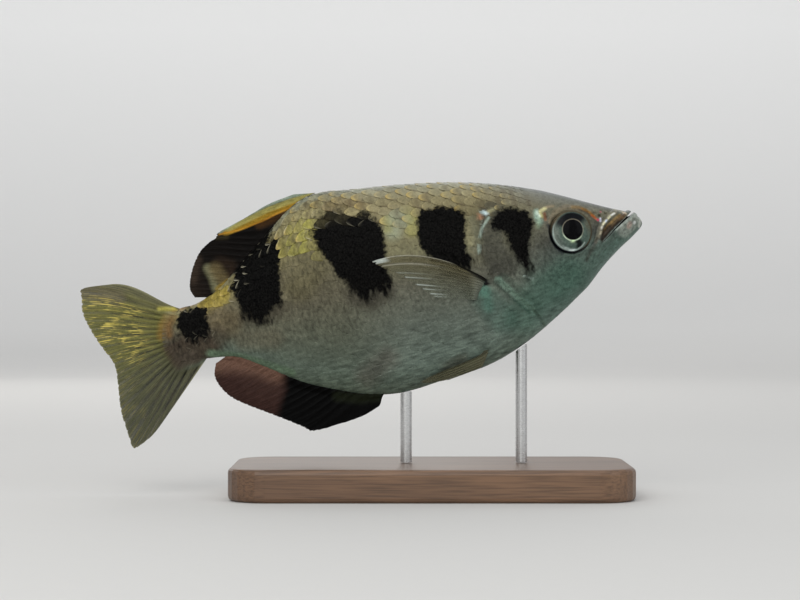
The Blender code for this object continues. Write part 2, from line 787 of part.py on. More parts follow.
def pelvic_fin(side, name):
    """A spine and five rays folded back along the belly's side."""
    count = 6
    lengths = (13.0, 14.2, 13.4, 11.8, 9.6, 7.2)
    lean = 0.0013

    def ray(i):
        t = i / (count - 1)
        root_behind = 37.8 + 1.6 * t
        root_angle = math.pi * (0.835 + 0.075 * t)
        tip_angle = math.pi * (0.868 + 0.055 * t)

        def path(s):
            behind = root_behind + lengths[i] * s
            angle = root_angle + (tip_angle - root_angle) * s
            away = GAP + MEMBRANE_ROOT / 2 + FOLDED_CLEAR + lean * s
            point = ring_point(behind, angle) + outward(behind, angle) * away
            return Vector((point.x, side * point.y, point.z))

        return path

    rays = [(ray(i), PELVIC_RAY if i else PELVIC_SPINE, SPINE_TIP) for i in range(count)]
    return fin_mesh(name, rays, rows=6)


def build_fins(model):
    add_object("dorsal_fin", dorsal_fin(), model, DARK_FIN)
    add_object("anal_fin", anal_fin(), model, DARK_FIN)
    add_object("caudal_fin", caudal_fin(), model, YELLOW_FIN)
    for side, word in ((1, "left"), (-1, "right")):
        add_object("pectoral_fin_" + word, pectoral_fin(side, "pectoral_" + word), model, CLEAR_FIN)
        add_object("pelvic_fin_" + word, pelvic_fin(side, "pelvic_" + word), model, CLEAR_FIN)


def build_stand(model, tools, pose):
    """A flat wooden base with two steel rods that reach up to the belly."""
    bpy.ops.mesh.primitive_cube_add(size=1, location=(BASE_MIDDLE, 0, BASE_HEIGHT / 2))
    base = bpy.context.object
    base.name = "stand_base"
    base.data.transform(Matrix.Diagonal((BASE_LENGTH, BASE_WIDTH, BASE_HEIGHT, 1)))
    for owner in list(base.users_collection):
        owner.objects.unlink(base)
    model.objects.link(base)
    base.data.materials.append(material(WOOD))
    form = bmesh.new()
    form.from_mesh(base.data)
    upright = [e for e in form.edges if abs(e.verts[0].co.z - e.verts[1].co.z) > BASE_HEIGHT / 2]
    bmesh.ops.bevel(
        form, geom=upright, offset=BASE_CORNER, segments=BASE_CORNER_STEPS, affect="EDGES",
        profile=0.5,
    )
    form.to_mesh(base.data)
    form.free()
    edge = base.modifiers.new("edge", "BEVEL")
    edge.width = BASE_BEVEL
    edge.segments = 3
    edge.limit_method = "ANGLE"
    edge.angle_limit = math.radians(50)

    belly = add_object("belly", body_mesh("belly", GAP), tools)
    belly.data.transform(pose)
    for behind, word in zip(ROD_STATIONS, ("front", "rear")):
        touch = pose @ ring_point(behind, math.pi)
        bpy.ops.mesh.primitive_cylinder_add(
            vertices=20, radius=ROD_RADIUS, depth=touch.z + ROD_SOCKET - BASE_HEIGHT - GAP,
            location=(touch.x, 0, (touch.z + ROD_SOCKET + BASE_HEIGHT + GAP) / 2),
        )
        rod = bpy.context.object
        rod.name = "stand_rod_" + word
        for owner in list(rod.users_collection):
            owner.objects.unlink(rod)
        model.objects.link(rod)
        rod.data.materials.append(material(STEEL))
        boolean(rod, belly, "DIFFERENCE")
    discard(belly)


def main():
    clear_scene()
    model = collection("archerfish")
    tools = collection("cutters")
    build_flesh(model, tools)
    build_fins(model)
    fish = bpy.data.objects.new("fish_pose", None)
    model.objects.link(fish)
    pose = Matrix.Translation(JAW_TIP) @ Matrix.Rotation(-PITCH, 4, "Y")
    fish.matrix_world = pose
    for obj in list(model.objects):
        if obj.type == "MESH":
            obj.parent = fish
    build_stand(model, tools, pose)


main()
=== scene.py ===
import math

import bpy
import numpy as np
from mathutils import Matrix, Vector
from mathutils.bvhtree import BVHTree


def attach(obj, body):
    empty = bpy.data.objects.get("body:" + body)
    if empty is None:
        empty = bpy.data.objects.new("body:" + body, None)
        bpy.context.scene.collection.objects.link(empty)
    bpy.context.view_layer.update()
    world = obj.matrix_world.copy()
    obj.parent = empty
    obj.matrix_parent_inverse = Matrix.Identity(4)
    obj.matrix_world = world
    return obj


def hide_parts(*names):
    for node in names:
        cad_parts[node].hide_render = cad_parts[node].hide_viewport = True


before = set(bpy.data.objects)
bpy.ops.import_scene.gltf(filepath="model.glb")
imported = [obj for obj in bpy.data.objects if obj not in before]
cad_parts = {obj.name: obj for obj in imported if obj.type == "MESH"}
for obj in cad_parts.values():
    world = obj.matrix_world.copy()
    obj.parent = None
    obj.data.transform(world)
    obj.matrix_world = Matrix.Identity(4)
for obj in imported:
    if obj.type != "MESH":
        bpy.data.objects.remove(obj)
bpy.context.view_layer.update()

# Camera. It stands level beside the fish's right flank, square to it, as far off as gives the
# photograph's framing, with everything sharp.
CAMERA_PLACE = (0.0123, -0.693, 0.0608)
CAMERA_LENS = 100
bpy.ops.object.select_all(action="DESELECT")
bpy.ops.object.camera_add(location=CAMERA_PLACE, rotation=(math.pi / 2, 0, 0))
camera = bpy.context.object
camera.name = "camera"
camera.data.lens = CAMERA_LENS
camera.data.sensor_width = 36
camera.data.clip_start = 0.01
camera.data.dof.use_dof = False
bpy.context.scene.camera = camera
bpy.context.scene.view_settings.view_transform = "Standard"

# Studio. One seamless round sweep of matt, pale board stands in for the room, under large soft
# lamps: one over the camera's left shoulder, one overhead, one on the right, one low in front, one
# behind that shines through the fins and one on the far wall.
FLOOR_RADIUS = 1.1
SWEEP_RADIUS = 0.7
SWEEP_STEPS = 12
BOARD_TONE = (0.64, 0.63, 0.61)
WALL_TONE = (0.88, 0.875, 0.86)
WALL_FOOT = 0.035
WALL_TURN = 0.35
AIR_TONE = (0.92, 0.95, 1.0, 1.0)
AIR_STRENGTH = 0.52
FISH_MIDDLE = Vector((0.01, 0.0, 0.062))
LAMPS = (
    ("key_lamp", (-0.3, -0.8, 0.8), FISH_MIDDLE, (0.7, 0.7), 3.6, (1.0, 0.98, 0.95)),
    ("top_lamp", (0.1, 0.05, 1.1), FISH_MIDDLE, (0.9, 0.9), 2.4, (1.0, 0.99, 0.96)),
    ("fill_lamp", (0.85, -0.6, 0.4), FISH_MIDDLE, (0.8, 0.62), 1.62, (0.93, 0.97, 1.0)),
    ("front_lamp", (-0.1, -0.95, 0.34), FISH_MIDDLE, (0.9, 0.54), 1.85, (0.97, 1.0, 0.98)),
    ("back_lamp", (-0.25, 0.85, 0.6), FISH_MIDDLE, (0.8, 0.8), 2.0, (1.0, 0.98, 0.94)),
    ("wall_lamp", (0.0, 0.7, 1.4), Vector((0.0, 2.2, 1.0)), (1.0, 1.0), 6.5, (1.0, 0.99, 0.98)),
)


def new_material(name, colour, roughness, **settings):
    """A Principled material, its constants set on the shader's own sockets, with its nodes."""
    made = bpy.data.materials.new(name)
    made.use_nodes = True
    shader = made.node_tree.nodes["Principled BSDF"]
    shader.inputs["Base Color"].default_value = (*colour, 1.0)
    shader.inputs["Roughness"].default_value = roughness
    for socket, value in settings.items():
        shader.inputs[socket.replace("_", " ")].default_value = value
    return made, made.node_tree, shader


def add_node(tree, kind, inputs=(), **settings):
    """A node of a kind, its settings made and its inputs linked or set by name or number."""
    node = tree.nodes.new(kind)
    for name, value in settings.items():
        setattr(node, name, value)
    for name, value in dict(inputs).items():
        if isinstance(value, bpy.types.NodeSocket):
            tree.links.new(value, node.inputs[name])
        else:
            node.inputs[name].default_value = value
    return node


def feed(node, **values):
    """Links values to a node's inputs, which are named with _ for a space."""
    for name, value in values.items():
        node.id_data.links.new(value, node.inputs[name.replace("_", " ")])


def add_bump(shader, height, strength, distance):
    """Roughens a shader's surface by a height."""
    bump = add_node(shader.id_data, "ShaderNodeBump",
                    {"Height": height, "Strength": strength, "Distance": distance})
    feed(shader, Normal=bump.outputs["Normal"])


def object_place(tree):
    return add_node(tree, "ShaderNodeTexCoord").outputs["Object"]


def axis_of(tree, vector, axis):
    return add_node(tree, "ShaderNodeSeparateXYZ", {"Vector": vector}).outputs[axis]


def spread(tree, value, low, high, to_low, to_high, kind="LINEAR"):
    return add_node(tree, "ShaderNodeMapRange",
                    {"Value": value, "From Min": low, "From Max": high, "To Min": to_low,
                     "To Max": to_high}, interpolation_type=kind).outputs["Result"]


def mix_colour(tree, share, first, second):
    """A mix of two colours, each a socket or three linear values."""
    node = add_node(tree, "ShaderNodeMix", {0: share}, data_type="RGBA")
    for index, value in ((6, first), (7, second)):
        if isinstance(value, bpy.types.NodeSocket):
            tree.links.new(value, node.inputs[index])
        else:
            node.inputs[index].default_value = (*value, 1.0)
    return node.outputs[2]


def scale_colour(tree, colour, by):
    return add_node(tree, "ShaderNodeVectorMath", {0: colour, "Scale": by},
                    operation="SCALE").outputs["Vector"]


def grain(tree, axes, scale, detail=2.0, **settings):
    """Noise with so many cells to the metre along each axis."""
    sized = add_node(tree, "ShaderNodeMapping", {"Vector": axes, "Scale": scale})
    return add_node(tree, "ShaderNodeTexNoise", {"Vector": sized.outputs["Vector"], "Scale": 1.0,
                                                 "Detail": detail, **settings}).outputs["Fac"]


bpy.ops.object.select_all(action="DESELECT")
bpy.ops.mesh.primitive_circle_add(vertices=160, radius=FLOOR_RADIUS, fill_type="NGON")
floor = bpy.context.object
floor.name = "studio_floor"
bpy.ops.object.mode_set(mode="EDIT")
bpy.ops.mesh.select_mode(type="EDGE")
bpy.ops.mesh.select_all(action="SELECT")
bpy.ops.mesh.region_to_loop()
for step in range(SWEEP_STEPS):
    low, high = (k * math.pi / 2 / SWEEP_STEPS for k in (step, step + 1))
    rise = SWEEP_RADIUS * (math.cos(low) - math.cos(high))
    reach = [FLOOR_RADIUS + SWEEP_RADIUS * math.sin(turn) for turn in (low, high)]
    bpy.ops.mesh.extrude_edges_move(TRANSFORM_OT_translate={"value": (0, 0, rise)})
    bpy.ops.transform.resize(value=(reach[1] / reach[0], reach[1] / reach[0], 1))
bpy.ops.object.mode_set(mode="OBJECT")
bpy.ops.object.shade_smooth()
board, tree, shader = new_material("pale_board", BOARD_TONE, 0.8)
place = object_place(tree)
high = axis_of(tree, place, "Z")
foot = spread(tree, high, 0.0, WALL_FOOT, 0.0, 0.16)
feed(shader, Base_Color=mix_colour(tree, spread(tree, high, 0.0, WALL_TURN, foot, 1.0),
                                   BOARD_TONE, WALL_TONE))
add_bump(shader, grain(tree, place, (60.0, 60.0, 60.0), 4.0), 0.15, 0.002)
floor.data.materials.append(board)

for name, place, aim, size, power, colour in LAMPS:
    bpy.ops.object.light_add(type="AREA", location=place)
    lamp = bpy.context.object
    lamp.name = name
    lamp.data.shape = "RECTANGLE"
    lamp.data.size, lamp.data.size_y = size
    lamp.data.energy = power
    lamp.data.color = colour
    lamp.rotation_euler = (aim - Vector(place)).to_track_quat("-Z", "Y").to_euler()
air = bpy.data.worlds.new("studio_air")
air.use_nodes = True
background = air.node_tree.nodes["Background"]
background.inputs["Color"].default_value = AIR_TONE
background.inputs["Strength"].default_value = AIR_STRENGTH
bpy.context.scene.world = air

# Skin. The whole body wears one wet skin, from the jaws to the tail's end, with the scales set in
# it. It starts as a ball whose rings are pulled onto the body's sections, each place given as
# (behind, up): percent of the standard length behind the lower jaw's tip and over the long axis.
STANDARD_LENGTH = 0.150
PERCENT = STANDARD_LENGTH / 100
MM = 0.001
PITCH = math.radians(13.64)
JAW_TIP = Vector((0.08776, 0.0, 0.0850))
POSE = Matrix.Translation(JAW_TIP) @ Matrix.Rotation(-PITCH, 4, "Y")
# Behind, back, belly, half width, share of the height at which it is widest, fullness above, below.
STATIONS = np.array((
    (0.0, 0.0, 0.0, 0.0, 0.45, 2.2, 2.0),
    (1.2, 2.1, -1.45, 2.0, 0.45, 2.2, 2.0),
    (3.0, 3.15, -2.6, 3.1, 0.42, 2.3, 2.0),
    (6.0, 4.6, -4.3, 4.45, 0.40, 2.4, 1.9),
    (10.0, 6.7, -7.0, 5.85, 0.38, 2.5, 1.8),
    (15.0, 9.4, -11.0, 7.1, 0.38, 2.5, 1.7),
    (22.0, 12.85, -15.2, 8.0, 0.40, 2.4, 1.7),
    (30.0, 15.8, -19.1, 8.65, 0.42, 2.3, 1.75),
    (38.0, 18.0, -21.5, 8.9, 0.42, 2.2, 1.8),
    (48.0, 19.85, -22.35, 8.7, 0.42, 2.1, 1.8),
    (57.0, 21.1, -22.8, 8.0, 0.42, 2.0, 1.75),
    (64.5, 22.0, -21.35, 7.0, 0.42, 2.0, 1.7),
    (70.5, 20.3, -18.9, 6.0, 0.42, 2.0, 1.7),
    (77.0, 15.85, -15.6, 4.85, 0.43, 2.0, 1.7),
    (84.0, 10.9, -10.5, 3.8, 0.45, 2.0, 1.8),
    (88.5, 7.75, -7.6, 3.1, 0.46, 2.0, 1.9),
    (94.0, 5.65, -6.4, 2.3, 0.48, 2.0, 2.0),
    (98.0, 5.5, -6.15, 1.45, 0.48, 2.0, 2.0),
    (100.0, 5.4, -6.0, 0.8, 0.48, 2.2, 2.2),
))
TAIL_BEND_FROM = 92.0
TAIL_END = 99.3
TAIL_BOW = 2.1
TAIL_RAKE = 0.14
TAIL_MIDDLE = -0.3
TAIL_HALF_DEPTH = 5.8
SLEEVE_END = 100.5
NORMAL_STEP = 0.25
NORMAL_TURN = 0.015
SKIN_AROUND = 288
SKIN_RINGS = 336
RING_SHARES = (0.0, 0.08, 0.35, 0.62, 1.0)
RING_ROOTS = (0.0, 1.095, 3.74, 5.92, math.sqrt(SLEEVE_END))
COAT = 0.30 * MM
BARE_INSET = 0.05 * MM
EYE_AT = (15.4, 1.55)
EYE_RADIUS = 0.0067
GILL_OPENING = (
    (29.5, 19.0), (30.6, 13.5), (31.6, 9.7), (33.2, 5.4), (34.1, 1.4), (33.6, -2.6),
    (31.2, -5.6), (28.4, -9.3), (26.0, -12.9), (24.6, -16.4), (23.8, -20.0),
)
CHEEK_EDGE = ((24.3, 8.6), (24.2, 3.6), (23.8, -1.4), (22.3, -5.8), (19.6, -9.6), (15.6, -10.6))
MOUTH_LINE = (
    (-2.8, 5.15), (1.2, 2.75), (3.0, 1.75), (5.8, 0.2), (8.0, -1.25), (10.6, -2.85), (12.6, -4.4),
)
MAXILLA = ((4.4, 3.7), (5.9, 3.1), (8.2, 1.5), (9.2, 0.4), (9.9, -0.9), (10.9, -2.3), (12.2, -3.5))
NOSTRILS = ((7.32, 3.62), (8.75, 3.43))


def curve_at(keys, values, at):
    """A smooth curve through values at rising keys, for an array of places."""
    keys, values = np.asarray(keys, float), np.asarray(values, float)
    slopes = np.empty_like(values)
    slopes[1:-1] = (values[2:] - values[:-2]) / (keys[2:] - keys[:-2])
    slopes[0] = (values[1] - values[0]) / (keys[1] - keys[0])
    slopes[-1] = (values[-1] - values[-2]) / (keys[-1] - keys[-2])
    at = np.clip(at, keys[0], keys[-1])
    i = np.clip(np.searchsorted(keys, at) - 1, 0, len(keys) - 2)
    span = keys[i + 1] - keys[i]
    t = (at - keys[i]) / span
    return (
        (2 * t**3 - 3 * t**2 + 1) * values[i] + (t**3 - 2 * t**2 + t) * span * slopes[i]
        + (3 * t**2 - 2 * t**3) * values[i + 1] + (t**3 - t**2) * span * slopes[i + 1]
    )


def line_through(points, steps):
    """A smooth line through points, as an array of places at even steps of their order."""
    points = np.asarray(points, float)
    at = np.linspace(0, len(points) - 1, steps)
    keys = np.arange(len(points))
    return np.stack([curve_at(keys, points[:, k], at) for k in range(points.shape[1])], -1)


def ease(low, high, value):
    t = np.clip((value - low) / (high - low), 0, 1)
    return t * t * (3 - 2 * t)


def hump(width, distance):
    return np.exp(-((distance / width) ** 2))


def turned_from(angle, middle):
    """How many degrees an angle is from a middle one, the short way round."""
    return np.abs((angle - middle + 180) % 360 - 180)


def station(column, behind):
    """One of the body's measures at places behind the jaw tip."""
    return curve_at(np.sqrt(STATIONS[:, 0]), STATIONS[:, column], np.sqrt(np.maximum(behind, 0)))


def tail_bow(up):
    """How far back the tail's bowed end lies at a height."""
    across = (up - TAIL_MIDDLE) / TAIL_HALF_DEPTH
    return TAIL_BOW * (1 - np.minimum(across * across, 1)) - TAIL_RAKE * up


def body(behind, turn):
    """Points of the body's form in the fish's own frame: turn 0 is the back and pi the belly."""
    back, belly, half, widest, above, below = (station(k, behind) for k in range(1, 7))
    half = half * (1 - 0.5 * ease(98.0, SLEEVE_END, behind))
    turn = np.mod(turn, 2 * np.pi)
    side = np.where(turn <= np.pi, 1, -1)
    turn = np.where(side > 0, turn, 2 * np.pi - turn)
    upper = turn <= np.pi / 2
    full = np.where(upper, above, below)
    lean = 1 - np.abs(np.cos(turn)) ** (2 / full)
    share = np.where(upper, widest * lean, 1 - (1 - widest) * lean)
    out = half * PERCENT * np.abs(np.sin(turn)) ** (2 / full)
    up = back + (belly - back) * share
    place = behind + tail_bow(up) * ease(TAIL_BEND_FROM, TAIL_END, behind)
    return np.stack([-place * PERCENT, side * out, up * PERCENT], -1)


def body_normal(behind, turn):
    """Outward directions of the body's form, from points a small step apart on it."""
    along = body(behind + NORMAL_STEP, turn) - body(np.maximum(behind - NORMAL_STEP, 0), turn)
    around = body(behind, turn + NORMAL_TURN) - body(behind, turn - NORMAL_TURN)
    normal = np.cross(around, along)
    length = np.linalg.norm(normal, axis=-1, keepdims=True)
    return np.where(length > 1e-14, normal / np.maximum(length, 1e-14), (1.0, 0.0, 0.0))


def line_distance(line, behind, up):
    """Distance from side-view places to a line, positive above it, and the share along it."""
    line = np.asarray(line, float)
    best = np.full(np.shape(behind), 1e9)
    share = np.zeros_like(best)
    lengths = np.concatenate([[0], np.cumsum(np.linalg.norm(np.diff(line, axis=0), axis=1))])
    for k, (start, end) in enumerate(zip(line[:-1], line[1:])):
        run, rise = end - start
        size = math.hypot(run, rise)
        t = np.clip(((behind - start[0]) * run + (up - start[1]) * rise) / size**2, 0, 1)
        off_behind, off_up = behind - start[0] - t * run, up - start[1] - t * rise
        distance = np.hypot(off_behind, off_up)
        nearer = distance < np.abs(best)
        sign = np.where(run * off_up - rise * off_behind >= 0, 1, -1)
        best = np.where(nearer, sign * distance, best)
        share = np.where(nearer, (lengths[k] + t * size) / lengths[-1], share)
    return best, share


mouth_path = line_through(MOUTH_LINE, 40)
maxilla_path = line_through(MAXILLA, 30)
cheek_path = line_through(CHEEK_EDGE, 30)
gill_path = line_through(GILL_OPENING, 50)
gill_order = np.argsort(gill_path[:, 1])


def gill_edge(up):
    return np.interp(up, gill_path[gill_order, 1], gill_path[gill_order, 0])


def covered(behind, up):
    """How far scales cover a side-view place: none on the snout, jaws and round the eye."""
    from_eye = np.hypot(behind - EYE_AT[0], (up - EYE_AT[1]) * 0.95)
    nape = ease(18.0, 25.0, behind + 0.15 * (up - 8))
    cheek = ease(13.5, 17.0, behind) * ease(6.4, 7.6, from_eye) * (1 - ease(6.0, 8.0, up))
    return np.maximum(nape * ease(5.4, 6.6, from_eye), cheek)


def relief(behind, up):
    """Height of the skin over the body's form, in metres: lips, orbit, nostrils, gill cover.

    Lengths in it are in mm round the eye and nostrils, and otherwise in percent.
    """
    from_eye = np.hypot(behind - EYE_AT[0], up - EYE_AT[1]) * PERCENT / MM
    high = -COAT * covered(behind, up) - BARE_INSET * (1 - covered(behind, up))
    high += MM * (0.34 * hump(0.55, from_eye - 7.25) - 0.12 * hump(0.5, from_eye - 8.7))
    facing = np.degrees(np.arctan2(up - EYE_AT[1], EYE_AT[0] - behind))
    snug = 0.3 * (1 - ease(60, 115, turned_from(facing, 40)))
    high -= MM * 1.5 * (1 - ease(6.35, 6.85, from_eye + snug))
    edge = gill_edge(up)
    fade = ease(-19.0, -15.0, up) * (1 - ease(8.5, 11.5, up))
    cover = ease(22.5, 26.0, behind) * (1 - ease(edge - 0.02, edge + 0.28, behind))
    high += MM * fade * (0.45 * cover - 0.22 * hump(0.35, behind - edge - 0.45))
    cheek, share = line_distance(cheek_path, behind, up)
    ends = ease(0.0, 0.12, share) * (1 - ease(0.88, 1.0, share))
    high += MM * ends * (0.16 * hump(0.45, cheek + 0.4) - 0.13 * hump(0.3, cheek - 0.15))
    mouth, share = line_distance(mouth_path, behind, up)
    fade = 1 - ease(0.86, 1.0, share)
    lip = np.where(mouth > 0, 0.62, 0.5) * fade
    breadth = np.where(mouth > 0, 0.62, 0.72)
    round_lip = np.sqrt(np.maximum(1 - ((np.abs(mouth) - breadth * 0.8) / breadth) ** 2, 0))
    high += MM * lip * round_lip * (np.abs(mouth) < 2.2)
    maxilla, share = line_distance(maxilla_path, behind, up)
    fade = ease(0.0, 0.15, share) * (1 - ease(0.85, 1.0, share))
    plate = np.sqrt(np.maximum(1 - (maxilla / 0.62) ** 2, 0))
    high += MM * fade * (0.34 * plate - 0.16 * hump(0.16, maxilla - 0.8))
    for at in NOSTRILS:
        from_pit = np.hypot(behind - at[0], up - at[1]) * PERCENT / MM
        high += MM * (0.12 * hump(0.28, from_pit - 0.62) - 0.65 * (1 - ease(0.2, 0.5, from_pit)))
    return high


def skin_point(behind, turn, lift=0.0):
    """Points of the skin, relief and all, in the fish's own frame."""
    form = body(behind, turn)
    out = np.abs(form[..., 1])
    place, up = -form[..., 0] / PERCENT, form[..., 2] / PERCENT
    side = ease(0.0, 0.2, out / (station(3, behind) * PERCENT + 1e-9))
    high = relief(place, up) * side - COAT * (1 - side) * covered(place, up) + lift
    return form + body_normal(behind, turn) * high[..., None]


def posed(points):
    """Points of the fish's own frame, set in its swimming pose over the stand."""
    matrix = np.array(POSE)
    return points @ matrix[:3, :3].T + matrix[:3, 3]


def mesh_points(mesh):
    """A mesh's points, one to a row."""
    points = np.empty(len(mesh.vertices) * 3, np.float32)
    mesh.vertices.foreach_get("co", points)
    return points.reshape(-1, 3).astype(float)


def side_view(mesh):
    """The side-view places of a mesh's points, and the points in the fish's own frame."""
    back = np.array(POSE.inverted())
    local = mesh_points(mesh) @ back[:3, :3].T + back[:3, 3]
    return -local[:, 0] / PERCENT, local[:, 2] / PERCENT, local


def move_points(obj, points):
    obj.data.vertices.foreach_set("co", np.ascontiguousarray(points, np.float32).ravel())
    obj.data.update()


def ball_on_body(name, around, rings, shape):
    """A ball whose rings are pulled onto the body by shape(behind, turn)."""
    bpy.ops.object.select_all(action="DESELECT")
    bpy.ops.mesh.primitive_uv_sphere_add(segments=around, ring_count=rings, radius=1)
    ball = bpy.context.object
    ball.name = name
    x, y, z = mesh_points(ball.data).T
    polar = np.arccos(np.clip(z, -1, 1)) / np.pi
    behind = curve_at(RING_SHARES, RING_ROOTS, polar * (1 + 1 / rings)) ** 2
    points = shape(behind, np.arctan2(-y, x))
    points[np.argmin(z)] = (-(SLEEVE_END + TAIL_BOW) * PERCENT, 0, TAIL_MIDDLE * PERCENT)
    move_points(ball, posed(points))
    bpy.ops.object.shade_smooth()
    return ball


skin = ball_on_body("fish_skin", SKIN_AROUND, SKIN_RINGS, skin_point)
uncut = BVHTree.FromPolygons([v.co for v in skin.data.vertices],
                             [p.vertices for p in skin.data.polygons])

# Mouth. The cleft runs from the notch between the jaws back and down to the mouth's corner, widest
# in front. A bent wedge, hollowed by a smaller ball so that it stays shallow, cuts it.
CLEFT_FRONT = 0.8 * MM
CLEFT_CORNER = 0.16 * MM
CLEFT_DEPTH = 2.6 * MM
CLEFT_DEEPENING = 0.0006
CLEFT_LENGTH = 0.74
CLEFT_HALF_WIDTH = 0.014


def apply_modifier(obj, kind, **settings):
    """Adds a modifier to a piece and applies it at once."""
    bpy.ops.object.select_all(action="DESELECT")
    obj.select_set(True)
    bpy.context.view_layer.objects.active = obj
    modifier = obj.modifiers.new(kind.lower(), kind)
    for name, value in settings.items():
        setattr(modifier, name, value)
    bpy.ops.object.modifier_apply(modifier=modifier.name)


def grid_on(name, columns, rows, shape):
    """A grid of faces whose points are placed by shape(across, along), both from 0 to 1."""
    bpy.ops.object.select_all(action="DESELECT")
    bpy.ops.mesh.primitive_grid_add(x_subdivisions=columns, y_subdivisions=rows, size=1)
    grid = bpy.context.object
    grid.name = name
    across, along = mesh_points(grid.data).T[:2] + 0.5
    move_points(grid, posed(shape(across, along)))
    return grid, across, along


def set_weights(obj, values):
    """A vertex group that holds one weight for each point."""
    group = obj.vertex_groups.new(name="thickness")
    for index, value in enumerate(values.tolist()):
        group.add([index], value, "REPLACE")


def cleft_sheet(across, along):
    """The cleft's middle sheet, bent along the mouth's line and set square to the flanks."""
    at = across * CLEFT_LENGTH * (len(mouth_path) - 1)
    behind, up = (np.interp(at, np.arange(len(mouth_path)), mouth_path[:, k]) for k in (0, 1))
    side = (along * 2 - 1) * CLEFT_HALF_WIDTH
    return np.stack([-behind * PERCENT, side, up * PERCENT], -1)


def core_point(behind, turn):
    """Points of the body's form set inwards by the cleft's depth, and less near the jaw's tip."""
    inset = np.minimum(CLEFT_DEPTH, behind * CLEFT_DEEPENING)
    return body(behind, turn) - body_normal(behind, turn) * inset[:, None]


cleft, cleft_share, _ = grid_on("cleft", 40, 2, cleft_sheet)
set_weights(cleft, 1 + (CLEFT_CORNER / CLEFT_FRONT - 1) * ease(0.15, 1.0, cleft_share))
apply_modifier(cleft, "SOLIDIFY", thickness=CLEFT_FRONT, offset=0.0, vertex_group="thickness")
core = ball_on_body("mouth_core", 64, 96, core_point)
apply_modifier(cleft, "BOOLEAN", operation="DIFFERENCE", solver="EXACT", object=core)
apply_modifier(skin, "BOOLEAN", operation="DIFFERENCE", solver="EXACT", object=cleft)
bpy.data.objects.remove(core, do_unlink=True)
bpy.data.objects.remove(cleft, do_unlink=True)
bpy.ops.object.shade_smooth_by_angle(angle=math.radians(50))

# Markings. Olive-gold back, silver-grey flank, sea-green belly, five black saddles with frayed
# lower edges, yellow scales between them, and small bright touches on the head. Some marks are
# painted light: highlights on the lips, maxilla, nostril, gill cover and the back's edge, shade in
# the gill groove, along the mouth's cleft and under the pectoral fin, and a lighter belly that
# offsets the shade of the lamps overhead. The skin and the scales both take them from here, by
# their side-view places.
# Tones from the belly's edge (0) to the back's (1). The first tones of FORE_TONES, up to half
# height, are painted lighter than the belly's own colour to offset the shade it gets from the lamps
# overhead, and the last, grey tone of each table, at the back's very edge, is painted rim light.
FORE_TONES = (
    (0.0, (110, 126, 114)), (0.12, (104, 118, 108)), (0.3, (101, 109, 99)), (0.5, (103, 102, 88)),
    (0.66, (118, 114, 86)), (0.84, (125, 117, 86)), (0.92, (138, 130, 98)),
    (0.97, (150, 146, 120)), (1.0, (146, 150, 142)),
)
REAR_TONES = (
    (0.0, (100, 114, 100)), (0.12, (94, 106, 94)), (0.3, (90, 94, 80)), (0.5, (92, 88, 72)),
    (0.7, (98, 92, 70)), (0.86, (126, 118, 80)), (0.95, (140, 132, 96)), (1.0, (132, 136, 120)),
)
HEAD_TONES = (
    (0.0, (86, 108, 98)), (0.2, (84, 104, 94)), (0.4, (80, 92, 84)), (0.56, (71, 73, 67)),
    (0.7, (87, 86, 73)), (0.84, (106, 103, 86)), (0.95, (112, 113, 104)), (1.0, (132, 135, 132)),
)
SADDLES = (
    ((27.8, 9.6), (25.4, 9.1), (23.2, 7.7), (22.5, 5.9), (22.7, 4.1), (23.7, 2.6), (24.5, 0.7),
     (25.1, -1.3), (25.3, -2.9), (26.3, -4.1), (27.1, -2.0), (28.0, 0.1), (28.5, 2.3), (28.6, 4.4),
     (29.5, 5.1), (30.7, 5.6), (30.9, 6.9), (30.1, 8.1), (28.8, 9.1)),
    ((44.4, 13.3), (42.3, 13.0), (39.3, 12.5), (37.2, 11.7), (35.8, 10.6), (35.8, 8.9), (36.6, 5.7),
     (37.3, 2.5), (37.0, 0.4), (38.8, -0.2), (41.6, 0.6), (43.7, 2.0), (45.0, 3.8), (45.9, 5.4),
     (46.1, 8.0), (45.5, 10.8)),
    ((63.7, 17.6), (60.6, 17.3), (58.0, 16.2), (55.6, 15.3), (53.9, 13.9), (52.7, 11.7),
     (52.8, 9.2), (53.2, 6.4), (53.6, 3.1), (54.4, 0.4), (55.4, -0.9), (57.8, -0.7), (60.0, -1.0),
     (61.1, 0.5), (62.7, 2.6), (64.0, 4.2), (64.7, 6.7), (65.7, 8.6), (66.6, 10.7), (66.4, 13.8),
     (65.4, 16.5)),
    ((74.4, 20.0), (75.2, 15.2), (75.0, 12.6), (75.1, 9.7), (75.6, 6.4), (76.1, 3.6), (77.0, 1.5),
     (79.2, 0.3), (80.7, -0.4), (82.6, 0.5), (84.7, 1.4), (85.3, 4.1), (85.5, 6.7), (85.3, 9.2),
     (86.5, 13.0), (82.0, 20.0)),
    ((97.8, 4.8), (95.2, 5.0), (92.5, 3.9), (92.4, 2.0), (92.7, -0.1), (93.8, -1.3), (95.4, -1.7),
     (97.2, -1.1), (98.5, 0.1), (98.8, 2.3)),
)
SADDLE_FOOT = 4.0
